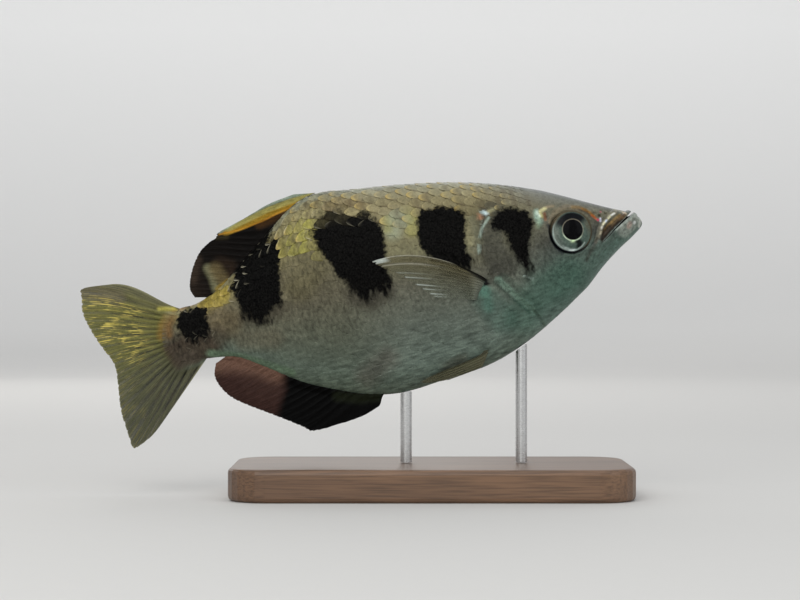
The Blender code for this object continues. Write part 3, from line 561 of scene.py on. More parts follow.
WASHES = (
    (((30.5, 8.5), (32.0, 3.0), (31.0, -2.0)), 1.6, 3.0, (60, 60, 53), 0.85),
    (((34.2, 4.0), (34.8, 9.0)), 0.3, 1.2, (100, 100, 80), 0.6),
    (((46.9, 9.4), (46.3, 12.6)), 0.4, 1.8, (134, 130, 74), 0.75),
    (((48.6, 12.4), (50.4, 12.4), (50.8, 10.2)), 0.6, 2.2, (140, 148, 124), 0.65),
    (((51.7, 10.9), (52.0, 13.2)), 0.3, 1.2, (130, 126, 70), 0.6),
    (((68.0, 8.0), (72.0, 4.0)), 1.5, 3.5, (100, 94, 66), 0.5),
    (((55.0, -1.5), (58.5, -3.0), (61.5, -1.0)), 0.4, 2.6, (56, 52, 44), 0.7),
    (((56.5, 17.6), (62.0, 18.7)), 0.6, 1.6, (116, 100, 70), 0.55),
    (((80.0, -5.4), (86.0, -4.2)), 0.8, 2.6, (104, 98, 80), 0.5),
    (((77.0, 0.5), (80.5, -1.0), (84.0, 0.5)), 0.3, 2.0, (60, 56, 46), 0.6),
    (((25.2, -3.5), (26.2, -5.2)), 0.3, 1.4, (48, 54, 46), 0.6),
    (((38.5, -0.6), (42.5, 0.4)), 0.3, 1.4, (62, 60, 50), 0.6),
    (((88.5, 5.8), (92.0, 4.9)), 0.8, 1.8, (146, 130, 56), 0.85),
    (((94.5, 5.7), (99.0, 5.3)), 0.1, 0.6, (132, 98, 66), 0.8),
    (((98.4, 5.4), (101.0, 5.7)), 0.1, 0.6, (186, 172, 84), 0.85),
    (((88.5, 0.0), (91.0, 2.0)), 1.5, 3.0, (98, 86, 62), 0.6),
    (((94.0, -4.0), (98.0, -3.2), (101.0, -3.6)), 1.6, 2.4, (66, 55, 45), 0.9),
    (((91.0, -2.5), (95.0, -3.0)), 1.0, 2.5, (74, 66, 54), 0.6),
    (((101.0, 0.4), (100.7, 2.4), (99.6, 3.6)), 0.0, 1.4, (126, 92, 52), 0.7),
    (((97.0, -5.4), (99.0, -5.6), (102.5, -6.6)), 0.8, 1.4, (74, 66, 56), 0.9),
    (((78.0, -13.2), (84.0, -9.6), (88.0, -7.4), (93.5, -5.3)), 0.3, 1.0, (102, 124, 100), 0.8),
    (((35.2, -8.0), (33.0, -12.5)), 1.5, 3.0, (66, 92, 82), 0.55),
    (((36.6, -5.2), (35.5, -6.0)), 0.5, 1.3, (92, 130, 114), 0.75),
    (((35.3, -7.0), (35.4, -9.6)), 0.3, 1.4, (82, 118, 104), 0.6),
    (((31.0, -4.8), (28.4, -8.4), (25.9, -11.4)), 0.6, 1.2, (64, 76, 66), 0.6),
    (((32.3, -4.4), (29.5, -8.4), (26.7, -12.0)), 0.4, 0.4, (116, 140, 124), 0.8),
    # Painted shade: a dark line in the groove behind the gill cover's edge.
    (((33.2, -4.6), (30.3, -8.9), (27.4, -12.6)), 0.12, 0.3, (40, 54, 46), 0.75),
    # Painted highlights: two small pale arcs on the gill cover.
    (((26.9, -5.0), (26.0, -5.5), (25.1, -6.1)), 0.04, 0.25, (150, 166, 156), 0.6),
    (((27.5, -9.6), (27.2, -10.6), (26.3, -10.9)), 0.04, 0.22, (120, 146, 134), 0.6),
    (((18.0, -7.0), (24.0, -9.0), (29.0, -13.0)), 1.5, 4.0, (60, 92, 78), 0.5),
    (((58.0, -15.0), (63.0, -17.5)), 0.5, 3.5, (98, 88, 80), 0.4),
    (((43.0, -19.0), (46.5, -20.0)), 0.3, 2.0, (92, 88, 74), 0.5),
)
TOUCHES = (
    (((34.7, -4.5), (35.6, -4.0)), 0.5, 0.4, (9, 9, 9), 0.97),
    (((35.6, -4.0), (37.4, -3.1)), 0.3, 0.5, (10, 10, 9), 0.95),
    # Painted shade: a dark grey streak on the flank under the pectoral fin's leading edge.
    (((37.4, -3.1), (40.6, -1.5), (43.2, -0.8)), 0.05, 0.7, (24, 23, 21), 0.85),
    (((31.1, 8.3), (32.9, 6.6), (34.2, 4.1), (34.8, 1.9)), 0.08, 0.36, (140, 154, 142), 0.85),
    (((31.95, 9.6), (31.4, 9.25)), 0.1, 0.5, (206, 226, 228), 0.85),
    (((32.7, 9.2), (32.9, 8.6)), 0.1, 0.4, (172, 122, 92), 0.65),
    (((30.9, 9.5), (29.6, 9.8)), 0.05, 0.6, (160, 156, 120), 0.6),
    (((21.3, 7.1), (21.5, 6.0), (21.1, 5.0)), 0.0, 1.1, (150, 178, 162), 0.75),
    (((21.2, 6.9), (20.8, 6.2)), 0.0, 0.6, (206, 222, 204), 0.8),
    (((19.4, 7.4), (20.5, 7.1)), 0.0, 0.6, (216, 210, 158), 0.9),
    (((20.6, 6.7), (20.4, 5.9)), 0.0, 0.5, (196, 186, 120), 0.6),
    (((21.2, 5.4), (21.6, 4.2)), 0.0, 1.0, (124, 142, 116), 0.55),
    (((19.8, 6.4), (19.9, 5.2)), 0.0, 0.55, (128, 78, 50), 0.7),
    (((19.0, 7.6), (17.6, 7.5)), 0.0, 0.45, (170, 152, 122), 0.5),
    (((19.64, 4.0), (19.7, 0.8), (19.2, -1.0), (18.0, -2.35)), 0.05, 0.4, (18, 22, 30), 0.75),
    (((19.0, 4.6), (17.5, 6.2), (15.0, 6.75), (12.6, 5.9)), 0.3, 0.5, (112, 102, 82), 0.7),
    (((13.8, 6.4), (12.4, 6.0), (11.2, 5.2)), 0.0, 0.6, (124, 100, 58), 0.75),
    (((12.8, 5.7), (11.3, 4.7), (10.5, 3.7)), 0.0, 0.4, (58, 46, 34), 0.6),
    (((11.9, 5.6), (10.6, 4.5), (9.9, 3.5)), 0.05, 0.4, (132, 94, 42), 0.85),
    (((10.3, 3.8), (9.6, 2.9)), 0.0, 0.4, (176, 88, 44), 0.8),
    (((9.3, 2.6),), 0.08, 0.3, (184, 52, 88), 0.9),
    # Painted highlight: a small white-lilac glint below the hind nostril.
    (((8.75, 2.75), (8.85, 2.2)), 0.06, 0.22, (206, 206, 226), 0.85),
    (((8.3, 4.1),), 0.06, 0.3, (176, 100, 108), 0.7),
    (((4.2, 2.0), (5.3, 1.2), (6.5, 1.1), (7.8, 0.4), (8.6, -0.3)), 0.45, 0.5, (82, 64, 40), 0.85),
    # Painted highlight: a golden line along the upper lip.
    (((4.6, 2.5), (6.0, 1.9), (7.2, 1.2), (8.2, 0.4)), 0.1, 0.35, (134, 108, 64), 0.65),
    # Painted shade: dark along the cleft's upper side, widening at the mouth's corner into the
    # maxilla's shadow.
    (((4.4, 1.35), (6.0, 0.5), (7.6, -0.5), (9.2, -1.6)), 0.2, 0.45, (32, 25, 20), 0.85),
    (((7.4, 0.5), (8.6, -0.5), (9.4, -1.3)), 0.3, 0.6, (40, 31, 24), 0.85),
    # Painted highlights: a pale row along the maxilla's ridge, with brighter spots on it.
    (((5.2, 3.3), (6.9, 2.65), (7.8, 2.0), (8.6, 1.4), (9.1, 0.7), (9.45, -0.2), (10.0, -0.85)),
     0.1, 0.36, (148, 142, 122), 0.85),
    (((5.5, 3.15), (6.3, 2.9)), 0.06, 0.22, (220, 222, 216), 0.8),
    (((6.6, 2.7), (7.1, 2.4)), 0.06, 0.22, (206, 204, 170), 0.8),
    (((7.5, 2.15), (7.8, 1.9)), 0.05, 0.2, (196, 208, 224), 0.8),
    (((8.1, 1.75), (8.5, 1.4)), 0.06, 0.22, (222, 218, 184), 0.8),
    (((8.85, 1.05), (9.1, 0.6)), 0.05, 0.2, (206, 204, 196), 0.75),
    (((9.3, 0.1), (9.5, -0.35)), 0.05, 0.2, (186, 176, 150), 0.7),
    (((9.4, 0.95), (10.1, -0.4), (10.8, -1.7)), 0.12, 0.45, (108, 104, 88), 0.6),
    (((10.4, -1.2), (11.4, -2.4), (12.3, -3.4), (13.5, -4.9)), 0.0, 0.7, (52, 46, 40), 0.6),
    (((5.2, 3.9), (3.85, 3.4), (3.2, 2.7)), 0.1, 0.3, (168, 164, 146), 0.7),
    (((3.6, 2.95), (3.2, 2.5)), 0.06, 0.24, (206, 184, 160), 0.75),
    (((3.4, 2.35), (4.8, 1.7)), 0.12, 0.3, (92, 70, 46), 0.7),
    # Painted highlights: a pale line along the lower lip's rim under the cleft, blue-tinted at its
    # front, and the jaw tip's pale upper edge.
    (((1.9, 2.1), (3.0, 1.6)), 0.1, 0.18, (70, 110, 160), 0.7),
    (((2.0, 1.75), (3.9, 0.95), (5.9, 0.0)), 0.2, 0.4, (166, 176, 168), 0.75),
    (((5.5, 0.3), (7.5, -0.8), (9.0, -1.9)), 0.1, 0.3, (120, 132, 124), 0.7),
    (((0.15, 0.9), (0.9, 1.6), (1.8, 1.9)), 0.25, 0.4, (190, 196, 188), 0.8),
    (((1.2, 1.2), (2.6, 0.3), (4.2, -0.7)), 0.9, 1.2, (142, 148, 138), 0.7),
    # Painted highlight: a small white glint on the lower lip.
    (((1.7, 0.45), (1.9, 0.2)), 0.1, 0.3, (212, 214, 208), 0.8),
    (((2.8, 0.3), (3.2, -0.2)), 0.25, 0.5, (156, 134, 122), 0.6),
    (((0.3, 0.5), (0.9, -0.7)), 0.1, 0.35, (184, 186, 176), 0.7),
)
# Gold on scale edges, partly their own colour and partly painted highlight.
GOLD_EDGE_AND_SHEEN = (176, 154, 92)
BROWN_TOUCH = (70, 54, 38)
# Colour of the painted glints on scale edges.
GLINT_TONE = (208, 201, 174)
INK = (0.0026, 0.0025, 0.0023)
CLEFT_SHADE = (14, 18, 26)
CLEFT_SHADE_FROM = 0.15 * MM
CLEFT_NEAR = 2.5
SKIN_THINNESS = 0.15
SKIN_GRAIN_DEPTH = 0.00012
AXIS_HEIGHT = 0.0619
UNMARKED = -20.0
MID_LINE = 0.0002


def linear(colour):
    """A colour as the eye names it, 0 to 255, in the renderer's light-linear values."""
    share = np.asarray(colour, float) / 255
    return np.where(share <= 0.04045, share / 12.92, ((share + 0.055) / 1.055) ** 2.4)


def tone_at(tones, share):
    keys = [key for key, _ in tones]
    table = np.array([linear(colour) for _, colour in tones])
    return np.stack([np.interp(share, keys, table[:, k]) for k in range(3)], -1)


def blend(paint, other, amount):
    """Paint with a share of another paint, or of one colour, laid over it."""
    return paint + (other - paint) * np.clip(amount, 0, 1)[:, None]


def wash(paint, behind, up, strokes):
    """Lays strokes over paint: each is a line of places, its reach, soft edge, colour, strength."""
    paint = paint.copy()
    for points, reach, soft, colour, strength in strokes:
        low, high = np.min(points, axis=0) - reach - soft, np.max(points, axis=0) + reach + soft
        near = np.flatnonzero((behind > low[0]) & (behind < high[0]) & (up > low[1])
                              & (up < high[1]))
        if len(points) == 1:
            away = np.hypot(behind[near] - points[0][0], up[near] - points[0][1])
        else:
            away = np.abs(line_distance(points, behind[near], up[near])[0])
        amount = strength * (1 - ease(reach, reach + soft, away))
        paint[near] = blend(paint[near], linear(colour), amount)
    return paint


def inside_distance(outline, behind, up):
    """Distance from places to a closed outline, positive inside it."""
    closed = np.array(outline + outline[:1], float)
    away = np.abs(line_distance(closed, behind, up)[0])
    within = np.zeros(np.shape(behind), bool)
    for (b0, u0), (b1, u1) in zip(closed[:-1], closed[1:]):
        if u0 == u1:
            continue
        crosses = (u0 > up) != (u1 > up)
        within ^= crosses & (behind < (b1 - b0) * (up - u0) / (u1 - u0) + b0)
    return np.where(within, away, -away)


def depth_share(behind, up):
    """Height of places on the body, from 0 at the belly's edge to 1 at the back's."""
    back, belly = station(1, behind), station(2, behind)
    return np.clip((up - belly) / np.maximum(back - belly, 0.5), 0, 1)


def body_paint(behind, up):
    """The skin's colour at side-view places, with its painted highlights and shade, without the
    black saddles.
    """
    share = depth_share(behind, up)
    paint = tone_at(FORE_TONES, share)
    paint = blend(paint, tone_at(REAR_TONES, share), ease(50.0, 68.0, behind))
    paint = blend(paint, tone_at(HEAD_TONES, share), 1 - ease(18.0, 34.0, behind))
    return wash(paint, behind, up, WASHES)


def saddles(behind, up):
    """Depth inside the black saddles, how frayed the nearest edge is, and how thin the black."""
    ink = np.full(np.shape(behind), UNMARKED)
    fray = np.zeros_like(ink)
    thin = np.zeros_like(ink)
    for outline in SADDLES:
        depth = inside_distance(outline, behind, up)
        foot, top = (pick(place[1] for place in outline) for pick in (min, max))
        nearer = depth > ink
        ink = np.where(nearer, depth, ink)
        reach = min(SADDLE_FOOT, 0.45 * (top - foot))
        fray = np.where(nearer, 1 - ease(foot, foot + reach, up), fray)
        crest = ease(top - 3.6, top - 1.0, up) * (15 < top < 19)
        thin = np.where(nearer, crest, thin)
    return ink, fray, thin


def keep(mesh, **attributes):
    """Keeps one value, or one colour, for each of a mesh's points under each name."""
    for name, values in attributes.items():
        if values.ndim == 2:
            values = np.concatenate([values, np.ones((len(values), 1))], 1)
            made = mesh.attributes.new(name, "FLOAT_COLOR", "POINT").data
            made.foreach_set("color", np.ascontiguousarray(values, np.float32).ravel())
        else:
            made = mesh.attributes.new(name, "FLOAT", "POINT").data
            made.foreach_set("value", np.ascontiguousarray(values, np.float32))


behind, up, local = side_view(skin.data)
skin_colour = wash(body_paint(behind, up), behind, up, TOUCHES)
near_mouth = np.flatnonzero(np.abs(line_distance(mouth_path, behind, up)[0]) < CLEFT_NEAR)
for index in near_mouth.tolist():
    if uncut.find_nearest(skin.data.vertices[index].co)[3] > CLEFT_SHADE_FROM:
        skin_colour[index] = linear(CLEFT_SHADE)
ink, fray, thin = saddles(behind, up)
ink = np.where(np.abs(local[:, 1]) < MID_LINE, UNMARKED, ink)
keep(skin.data, paint=skin_colour, ink=ink, fray=fray, thin=thin * SKIN_THINNESS,
     rim=np.zeros(len(behind)))


def make_group(name, inputs, outputs):
    group = bpy.data.node_groups.new(name, "ShaderNodeTree")
    for label, kind in inputs:
        group.interface.new_socket(name=label, in_out="INPUT", socket_type=kind)
    for label, kind in outputs:
        group.interface.new_socket(name=label, in_out="OUTPUT", socket_type=kind)
    return group, group.nodes.new("NodeGroupInput"), group.nodes.new("NodeGroupOutput")


FLOAT, COLOR = "NodeSocketFloat", "NodeSocketColor"
coat, coat_in, coat_out = make_group(
    "fish_coat",
    (("Paint", COLOR), ("Ink", FLOAT), ("Fray", FLOAT), ("Thin", FLOAT), ("Rim", FLOAT)),
    (("Color", COLOR), ("Roughness", FLOAT), ("Silver", FLOAT), ("Film", FLOAT),
     ("Height", FLOAT)),
)


def math_node(tree, operation, first, second=0.0, third=0.0):
    return add_node(tree, "ShaderNodeMath", {0: first, 1: second, 2: third},
                    operation=operation).outputs["Value"]


def times(tree, product, *factors):
    """The product of several values."""
    for factor in factors:
        product = math_node(tree, "MULTIPLY", product, factor)
    return product


def sway(tree, value, noise, reach):
    """A value moved up and down by a noise, so far for each unit of it."""
    return math_node(tree, "MULTIPLY_ADD", math_node(tree, "SUBTRACT", noise, 0.5), reach, value)


def fish_axes(tree):
    """Object coordinates turned level with the fish, jaw forward."""
    return add_node(tree, "ShaderNodeMapping", {"Vector": object_place(tree),
                                                "Rotation": (0.0, PITCH, 0.0)}).outputs["Vector"]


axes = fish_axes(coat)
paint_in, ink_in, fray_in, thin_in, glint_in = coat_in.outputs[:5]
streaks = grain(coat, axes, (1150.0, 900.0, 640.0), 4.0)
drips = grain(coat, axes, (760.0, 600.0, 330.0), 3.0)
lobes = grain(coat, axes, (300.0, 300.0, 110.0))
specks = grain(coat, axes, (2100.0, 2100.0, 1800.0))
weave = grain(coat, axes, (300.0, 600.0, 1150.0))
pebbles = grain(coat, axes, (900.0, 900.0, 900.0), 3.0)
clouds = grain(coat, axes, (130.0, 130.0, 90.0), 3.0)
height = axis_of(coat, axes, "Z")
low_down = spread(coat, height, AXIS_HEIGHT - 5 * PERCENT, AXIS_HEIGHT - 14 * PERCENT, 0.0, 1.0)
ragged = sway(coat, ink_in, pebbles, 2.0)
fringe = times(coat, fray_in, 6.0)
for wander in (drips, lobes):
    ragged = sway(coat, ragged, wander, fringe)
soft_from = spread(coat, fray_in, 0.0, 1.0, -0.55, -2.2)
inked = times(coat, spread(coat, ragged, soft_from, 0.45, 0.0, 1.0, "SMOOTHSTEP"),
              math_node(coat, "SUBTRACT", 1.0, thin_in))
in_front = spread(coat, axis_of(coat, axes, "X"), 0.012, 0.032, 0.0, 1.0)
mottle = add_node(coat, "ShaderNodeMix", {0: in_front, 2: streaks, 3: pebbles}).outputs[0]
mottle = add_node(coat, "ShaderNodeMix", {0: low_down, 2: mottle, 3: weave}).outputs[0]
crown = spread(coat, height, AXIS_HEIGHT + 4 * PERCENT, AXIS_HEIGHT + 9 * PERCENT, 0.0, 1.1)
strength = math_node(coat, "SUBTRACT", spread(coat, low_down, 0.0, 1.0, 1.8, 1.7),
                     times(coat, crown, in_front))
shade = times(coat, sway(coat, 1.0, mottle, strength), spread(coat, specks, 0.3, 0.7, 0.86, 1.14),
              spread(coat, clouds, 0.3, 0.7, 0.9, 1.1))
soot = scale_colour(coat, INK, spread(coat, specks, 0.35, 0.68, 0.3, 3.2))
marked = mix_colour(coat, inked, scale_colour(coat, paint_in, shade), soot)
bare = math_node(coat, "SUBTRACT", 1.0, inked)
# The scales' painted edge glints are laid over the colour last.
feed(coat_out, Color=mix_colour(coat, glint_in, marked, linear(GLINT_TONE)),
     Roughness=spread(coat, specks, 0.3, 0.7, 0.36, 0.5), Silver=times(coat, bare, 0.25),
     Film=times(coat, bare, 0.35), Height=math_node(coat, "MULTIPLY_ADD", streaks, 0.6, specks))


def attribute(tree, name, output="Fac"):
    return add_node(tree, "ShaderNodeAttribute", attribute_name=name).outputs[output]


def wet_skin(name, bump):
    """The skin's finish: grey-silver under a thin wet film, all its colour from the coat group."""
    made, tree, shader = new_material(name, (0.3, 0.3, 0.25), 0.4, Coat_Roughness=0.14,
                                      Coat_IOR=1.33, Specular_IOR_Level=0.02)
    group = add_node(tree, "ShaderNodeGroup", node_tree=coat)
    feed(group, Paint=attribute(tree, "paint", "Color"), Ink=attribute(tree, "ink"),
         Fray=attribute(tree, "fray"), Thin=attribute(tree, "thin"), Rim=attribute(tree, "rim"))
    feed(shader, Base_Color=group.outputs["Color"], Roughness=group.outputs["Roughness"],
         Metallic=group.outputs["Silver"], Coat_Weight=group.outputs["Film"])
    add_bump(shader, group.outputs["Height"], bump, SKIN_GRAIN_DEPTH)
    return made


skin.data.materials.clear()
skin.data.materials.append(wet_skin("wet_skin", 0.35))
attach(skin, "root")
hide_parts("head", "lower_jaw", "gill_cover_left", "gill_cover_right", "trunk", "tail_stock")

# Scales. Thin overlapping plates of clear bone in rows from the nape, cheek and gill cover to the
# tail, each set in the skin at its front and free at its round rear edge. Each is a bent grid
# with a front, a back and a rim, laid on the body's own surface.
SCALE_COLUMNS = 9
SCALE_ROWS = (0.0, 0.3, 0.58, 0.8, 0.955, 1.0)
SCALE_THICK = 0.05 * MM
SCALE_SEED = 7
PITCH_PLACES = (14.0, 24.0, 36.0, 70.0, 90.0, 98.0)
PITCH_LONG = (1.05, 1.45, 2.2, 2.25, 1.75, 1.2)
LAST_SCALE = 100.2
SCALE_OVERLAP = 1.75
SCALE_FULLNESS = 1.32
BAKE_PATCH = 0.003
RING_POINTS = 181
SIDE_PITCH = 1.02
FEWEST_SCALES = 4
LEAST_COVER = 0.3
GILL_BARE = (-0.75, 1.1)
GILL_BARE_UP = (-19, 11)
SCALE_ROUND = 0.30
SCALE_TAPER = 0.34
SCALE_ROOT = 0.55
RIM_GLINTS = (
    (((74.5, 14.6), (77.0, 13.2), (80.0, 12.6), (84.0, 10.0), (85.2, 6.8)), 1.8, 1.4, 1.0),
    (((69.0, 20.5), (74.5, 15.5)), 1.6, 1.4, 1.0),
    (((66.5, 15.6), (73.0, 12.0)), 1.2, 1.5, 0.7),
    (((55.0, 14.6), (65.0, 16.4)), 1.0, 1.6, 0.45),
    (((48.0, 18.5), (65.0, 20.5)), 0.8, 1.6, 0.3),
    (((86.5, 7.5), (98.0, 4.8)), 0.9, 1.2, 0.8),
    (((92.0, -2.0), (99.0, -3.0)), 1.5, 1.5, 0.25),
)
YELLOW_SCALES = (
    (((66.8, 15.7), (69.3, 14.8), (71.4, 14.2)), 0.9, 1.8, (150, 146, 64), 0.95),
    (((68.6, 12.4), (70.6, 12.6), (73.0, 11.9)), 0.7, 1.8, (140, 136, 62), 0.85),
    (((66.2, 12.8), (65.8, 9.5)), 0.4, 1.6, (132, 126, 64), 0.7),
    (((87.5, 6.8), (91.5, 5.2)), 0.6, 1.6, (164, 146, 66), 0.8),
)
draw = np.random.default_rng(SCALE_SEED)


def scale_roots():
    """Each scale's middle as (behind, turn), its length, breadth, cover and drop below the back."""
    found = []
    behind, odd = PITCH_PLACES[0], 0
    while behind < LAST_SCALE:
        pitch = float(np.interp(behind, PITCH_PLACES, PITCH_LONG))
        turns = np.linspace(0, np.pi, RING_POINTS)
        ring = body(np.full(RING_POINTS, behind), turns)
        arc = np.concatenate([[0], np.cumsum(np.linalg.norm(np.diff(ring, axis=0), axis=1))])
        count = max(int(round(arc[-1] / (pitch * PERCENT * SIDE_PITCH))), FEWEST_SCALES)
        for k in range(count + 1):
            at = (k + 0.5 * odd) / count * arc[-1]
            if at > arc[-1] * 1.001:
                continue
            turn = float(np.interp(at, arc, turns))
            form = body(np.array([behind]), np.array([turn]))[0]
            place, up = -form[0] / PERCENT, form[2] / PERCENT
            cover = float(covered(np.array([place]), np.array([up]))[0])
            at_gill = GILL_BARE[0] < place - float(gill_edge(up)) < GILL_BARE[1]
            at_gill = at_gill and GILL_BARE_UP[0] < up < GILL_BARE_UP[1]
            if cover > LEAST_COVER and not at_gill:
                found.append((behind, turn, pitch * PERCENT, arc[-1] / count, cover,
                              at / arc[-1]))
        behind += pitch
        odd = 1 - odd
    return np.array(found)


roots = scale_roots()


def scales_on(name, side):
    """All scales of one side as one mesh; side 1 is the fish's left."""
    count = len(roots)
    middle, turn, length, breadth, cover, drop = roots.T
    across = np.linspace(-1, 1, SCALE_COLUMNS)
    down = np.array(SCALE_ROWS)
    # s runs down a scale, from 0 at its root to 1 at its free edge, and v across it from -1 to 1.
    s, v = (shares.ravel() for shares in np.meshgrid(down, across, indexing="ij"))
    rear = s * (1 - SCALE_ROUND * v**2)
    flare = 1 - SCALE_TAPER * s**2.5
    jitter = draw.normal(0, 1, (count, 4))
    size = 1 + 0.05 * jitter[:, 0]
    skew = 0.10 * jitter[:, 1]
    long_ways = (rear[None] - SCALE_ROOT) * (length * SCALE_OVERLAP * size)[:, None]
    side_ways = (v * flare)[None] * (breadth * SCALE_FULLNESS / 2 * size)[:, None]
    side_ways = side_ways + skew[:, None] * long_ways
    step_long = body(middle + 0.4, turn) - body(middle - 0.4, turn)
    step_round = body(middle, turn + 0.02) - body(middle, turn - 0.02)
    per_long = 0.8 / np.linalg.norm(step_long, axis=1)
    per_round = 0.04 / np.linalg.norm(step_round, axis=1)
    behind = np.clip(middle[:, None] + long_ways * per_long[:, None], 5, SLEEVE_END)
    around = turn[:, None] + side_ways * per_round[:, None]
    bold = 0.26 + 0.74 * (1 - ease(0.16, 0.34, drop)) - 0.18 * ease(0.36, 0.6, drop)
    bold = bold * np.minimum(length / (2.2 * PERCENT), 1)
    rise = (0.22 + 0.025 * jitter[:, 2]) * bold * ease(0.3, 0.95, cover)
    rise = rise * (0.35 + 0.65 * ease(0.0, 0.1, drop))
    lift = MM * (rise[:, None] * s[None] ** 1.2 + 0.06 * s[None] - 0.03 - 0.03 * v[None] ** 2
                 - 0.07 * (1 - ease(0.3, 0.9, cover))[:, None])
    outer = skin_point(behind.ravel(), side * around.ravel(), lift.ravel())
    under = lift - SCALE_THICK * (1 - 0.5 * s[None] ** 3)
    inner = skin_point(behind.ravel(), side * around.ravel(), under.ravel())
    per_scale = len(s)
    points = np.concatenate([outer.reshape(count, per_scale, 3),
                             inner.reshape(count, per_scale, 3)], 1)
    rows, columns = len(down), SCALE_COLUMNS
    faces = []
    for i in range(rows - 1):
        for j in range(columns - 1):
            a, b = i * columns + j, i * columns + j + 1
            c, d = b + columns, a + columns
            faces.append((a, d, c, b))
            faces.append((a + per_scale, b + per_scale, c + per_scale, d + per_scale))
    border = [(0, j) for j in range(columns)] + [(i, columns - 1) for i in range(1, rows)]
    border += [(rows - 1, j) for j in range(columns - 2, -1, -1)]
    border += [(i, 0) for i in range(rows - 2, 0, -1)]
    ring = [i * columns + j for i, j in border]
    for a, b in zip(ring, ring[1:] + ring[:1]):
        faces.append((a, b, b + per_scale, a + per_scale))
    faces = np.array(faces)
    if side < 0:
        faces = faces[:, ::-1]
    mesh = bpy.data.meshes.new(name)
    offsets = (np.arange(count) * 2 * per_scale)[:, None, None]
    all_faces = (faces[None] + offsets).reshape(-1, 4)
    mesh.from_pydata(posed(points.reshape(-1, 3)).tolist(), [], all_faces.tolist())
    made = bpy.data.objects.new(name, mesh)
    bpy.context.scene.collection.objects.link(made)
    mesh.shade_smooth()

    def each(values):
        return np.repeat(values, 2 * per_scale)

    def chance(low, high):
        """A share for each scale, none for the draws under low and full for those over high."""
        return each(ease(low, high, draw.uniform(0, 1, count)))

    places, ups, _ = side_view(mesh)
    middles = body(middle, turn)
    home_behind, home_up = each(-middles[:, 0] / PERCENT), each(middles[:, 2] / PERCENT)
    s, v = np.tile(np.concatenate([s, s]), count), np.tile(np.concatenate([v, v]), count)
    high = ease(0.74, 0.86, depth_share(home_behind, home_up))
    own = 0.1 + 0.6 * high
    mixed_behind = places + (home_behind - places) * own
    mixed_up = ups + (home_up - ups) * own
    tone = 1 + 0.06 * each(draw.normal(0, 1, count))
    colour = body_paint(mixed_behind, mixed_up) * tone[:, None]
    yellow = wash(colour, home_behind, home_up, YELLOW_SCALES)
    full = each(draw.uniform(0.5, 1, count)) * (0.3 + 0.7 * ease(0.25, 0.75, s + 0.1 * v**2))
    colour = blend(colour, yellow, full)
    # Each scale's free edge is painted up to 14 % lighter and a band just before it up to 12 %
    # darker: partly the scales' own pale edging, partly painted highlight on the edge and painted
    # shade under the overlapping scale.
    rim = ease(0.82, 0.97, s + 0.08 * v**2)
    overlap_shade = hump(0.14, s + 0.08 * v**2 - 0.68)
    colour = colour * (1 + (0.14 * rim - 0.12 * overlap_shade) * (0.15 + 0.85 * high))[:, None]
    # Gold on the rear edges of some back scales: partly their own golden edging, partly painted
    # highlight.
    gold = 0.85 * high * ease(22, 32, home_behind) * ease(0.74, 0.9, s)
    gold = gold * (1 - ease(0.5, 0.9, np.abs(v))) * chance(0.35, 0.9)
    colour = blend(colour, linear(GOLD_EDGE_AND_SHEEN), gold)
    flank = ease(0.6, 0.85, v * side * -1) * ease(0.45, 0.7, s)
    colour = blend(colour, linear(BROWN_TOUCH), high * flank * chance(0.3, 1.0) * 0.75)
    # A brown patch at the overlap on some back scales: partly their own brown, partly painted shade
    # under the overlapping scale's edge.
    hollow = high * hump(0.2, s - 0.62) * chance(0.4, 1.0) * 0.4
    colour = blend(colour, linear(BROWN_TOUCH), hollow)
    colour = wash(colour, places, ups, TOUCHES)
    own = 0.1 + 0.6 * high * (0.3 + 0.7 * ease(48, 54, home_behind))
    ink, fray, thin = saddles(places + (home_behind - places) * own, ups + (home_up - ups) * own)
    ink = ink + each(draw.normal(0, 1, count)) * (0.08 + 0.35 * high * ease(48, 54, home_behind))
    thin = thin * each(draw.uniform(0.04, 0.3, count)) * (1 - 0.5 * rim)
    # Painted highlights: glints on one side of the free edge of scales near the listed lines, kept
    # as rim.
    glint = np.zeros(len(places))
    for line, reach, soft, strength in RIM_GLINTS:
        away = np.abs(line_distance(line, home_behind, home_up)[0])
        glint = np.maximum(glint, strength * (1 - ease(reach, reach + soft, away)))
    one_side = ease(-0.2, 0.5, v * each(np.sign(draw.uniform(-1, 1, count))) + 0.15)
    glint = glint * each(draw.uniform(0, 1, count) ** 1.3) * one_side
    glint = glint * ease(0.93, 1.0, s + 0.05 * v**2)
    keep(mesh, paint=np.clip(colour, 0, 1), ink=ink, fray=fray, thin=thin, rim=glint)
    bake = mesh.uv_layers.new(name="OFBake")
    patch = np.stack([each(middle / 101) + BAKE_PATCH * (s - 0.5),
                      each(0.02 + 0.96 * drop) + BAKE_PATCH * v / 2], -1)
    corners = np.empty(len(mesh.loops), np.int32)
    mesh.loops.foreach_get("vertex_index", corners)
    bake.data.foreach_set("uv", patch[corners].astype(np.float32).ravel())
    mesh.materials.append(scale_finish)
    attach(made, "root")


scale_finish = wet_skin("wet_scales", 0.25)
scales_on("scales_left", 1)
scales_on("scales_right", -1)

# Eyes. Glass museum eyes: a clear dome over a painted iris, silver-green below, black-violet above,
# with a round black pupil in a thin silver ring. The white glints along the iris's lower edge and
# at the bottom of the ring are painted highlights. The dome's shine is the shader's coat.
EYE_BULGE = 0.0024
EYE_DEPTH = 0.0046
EYE_SINK = 0.0011
EYE_TURN = math.radians(9)
EYE_LEVELS = (0.3, 2.4, 200)
PUPIL_RADIUS = 3.15
PUPIL_AHEAD = 0.3
PUPIL_UP = 0.4


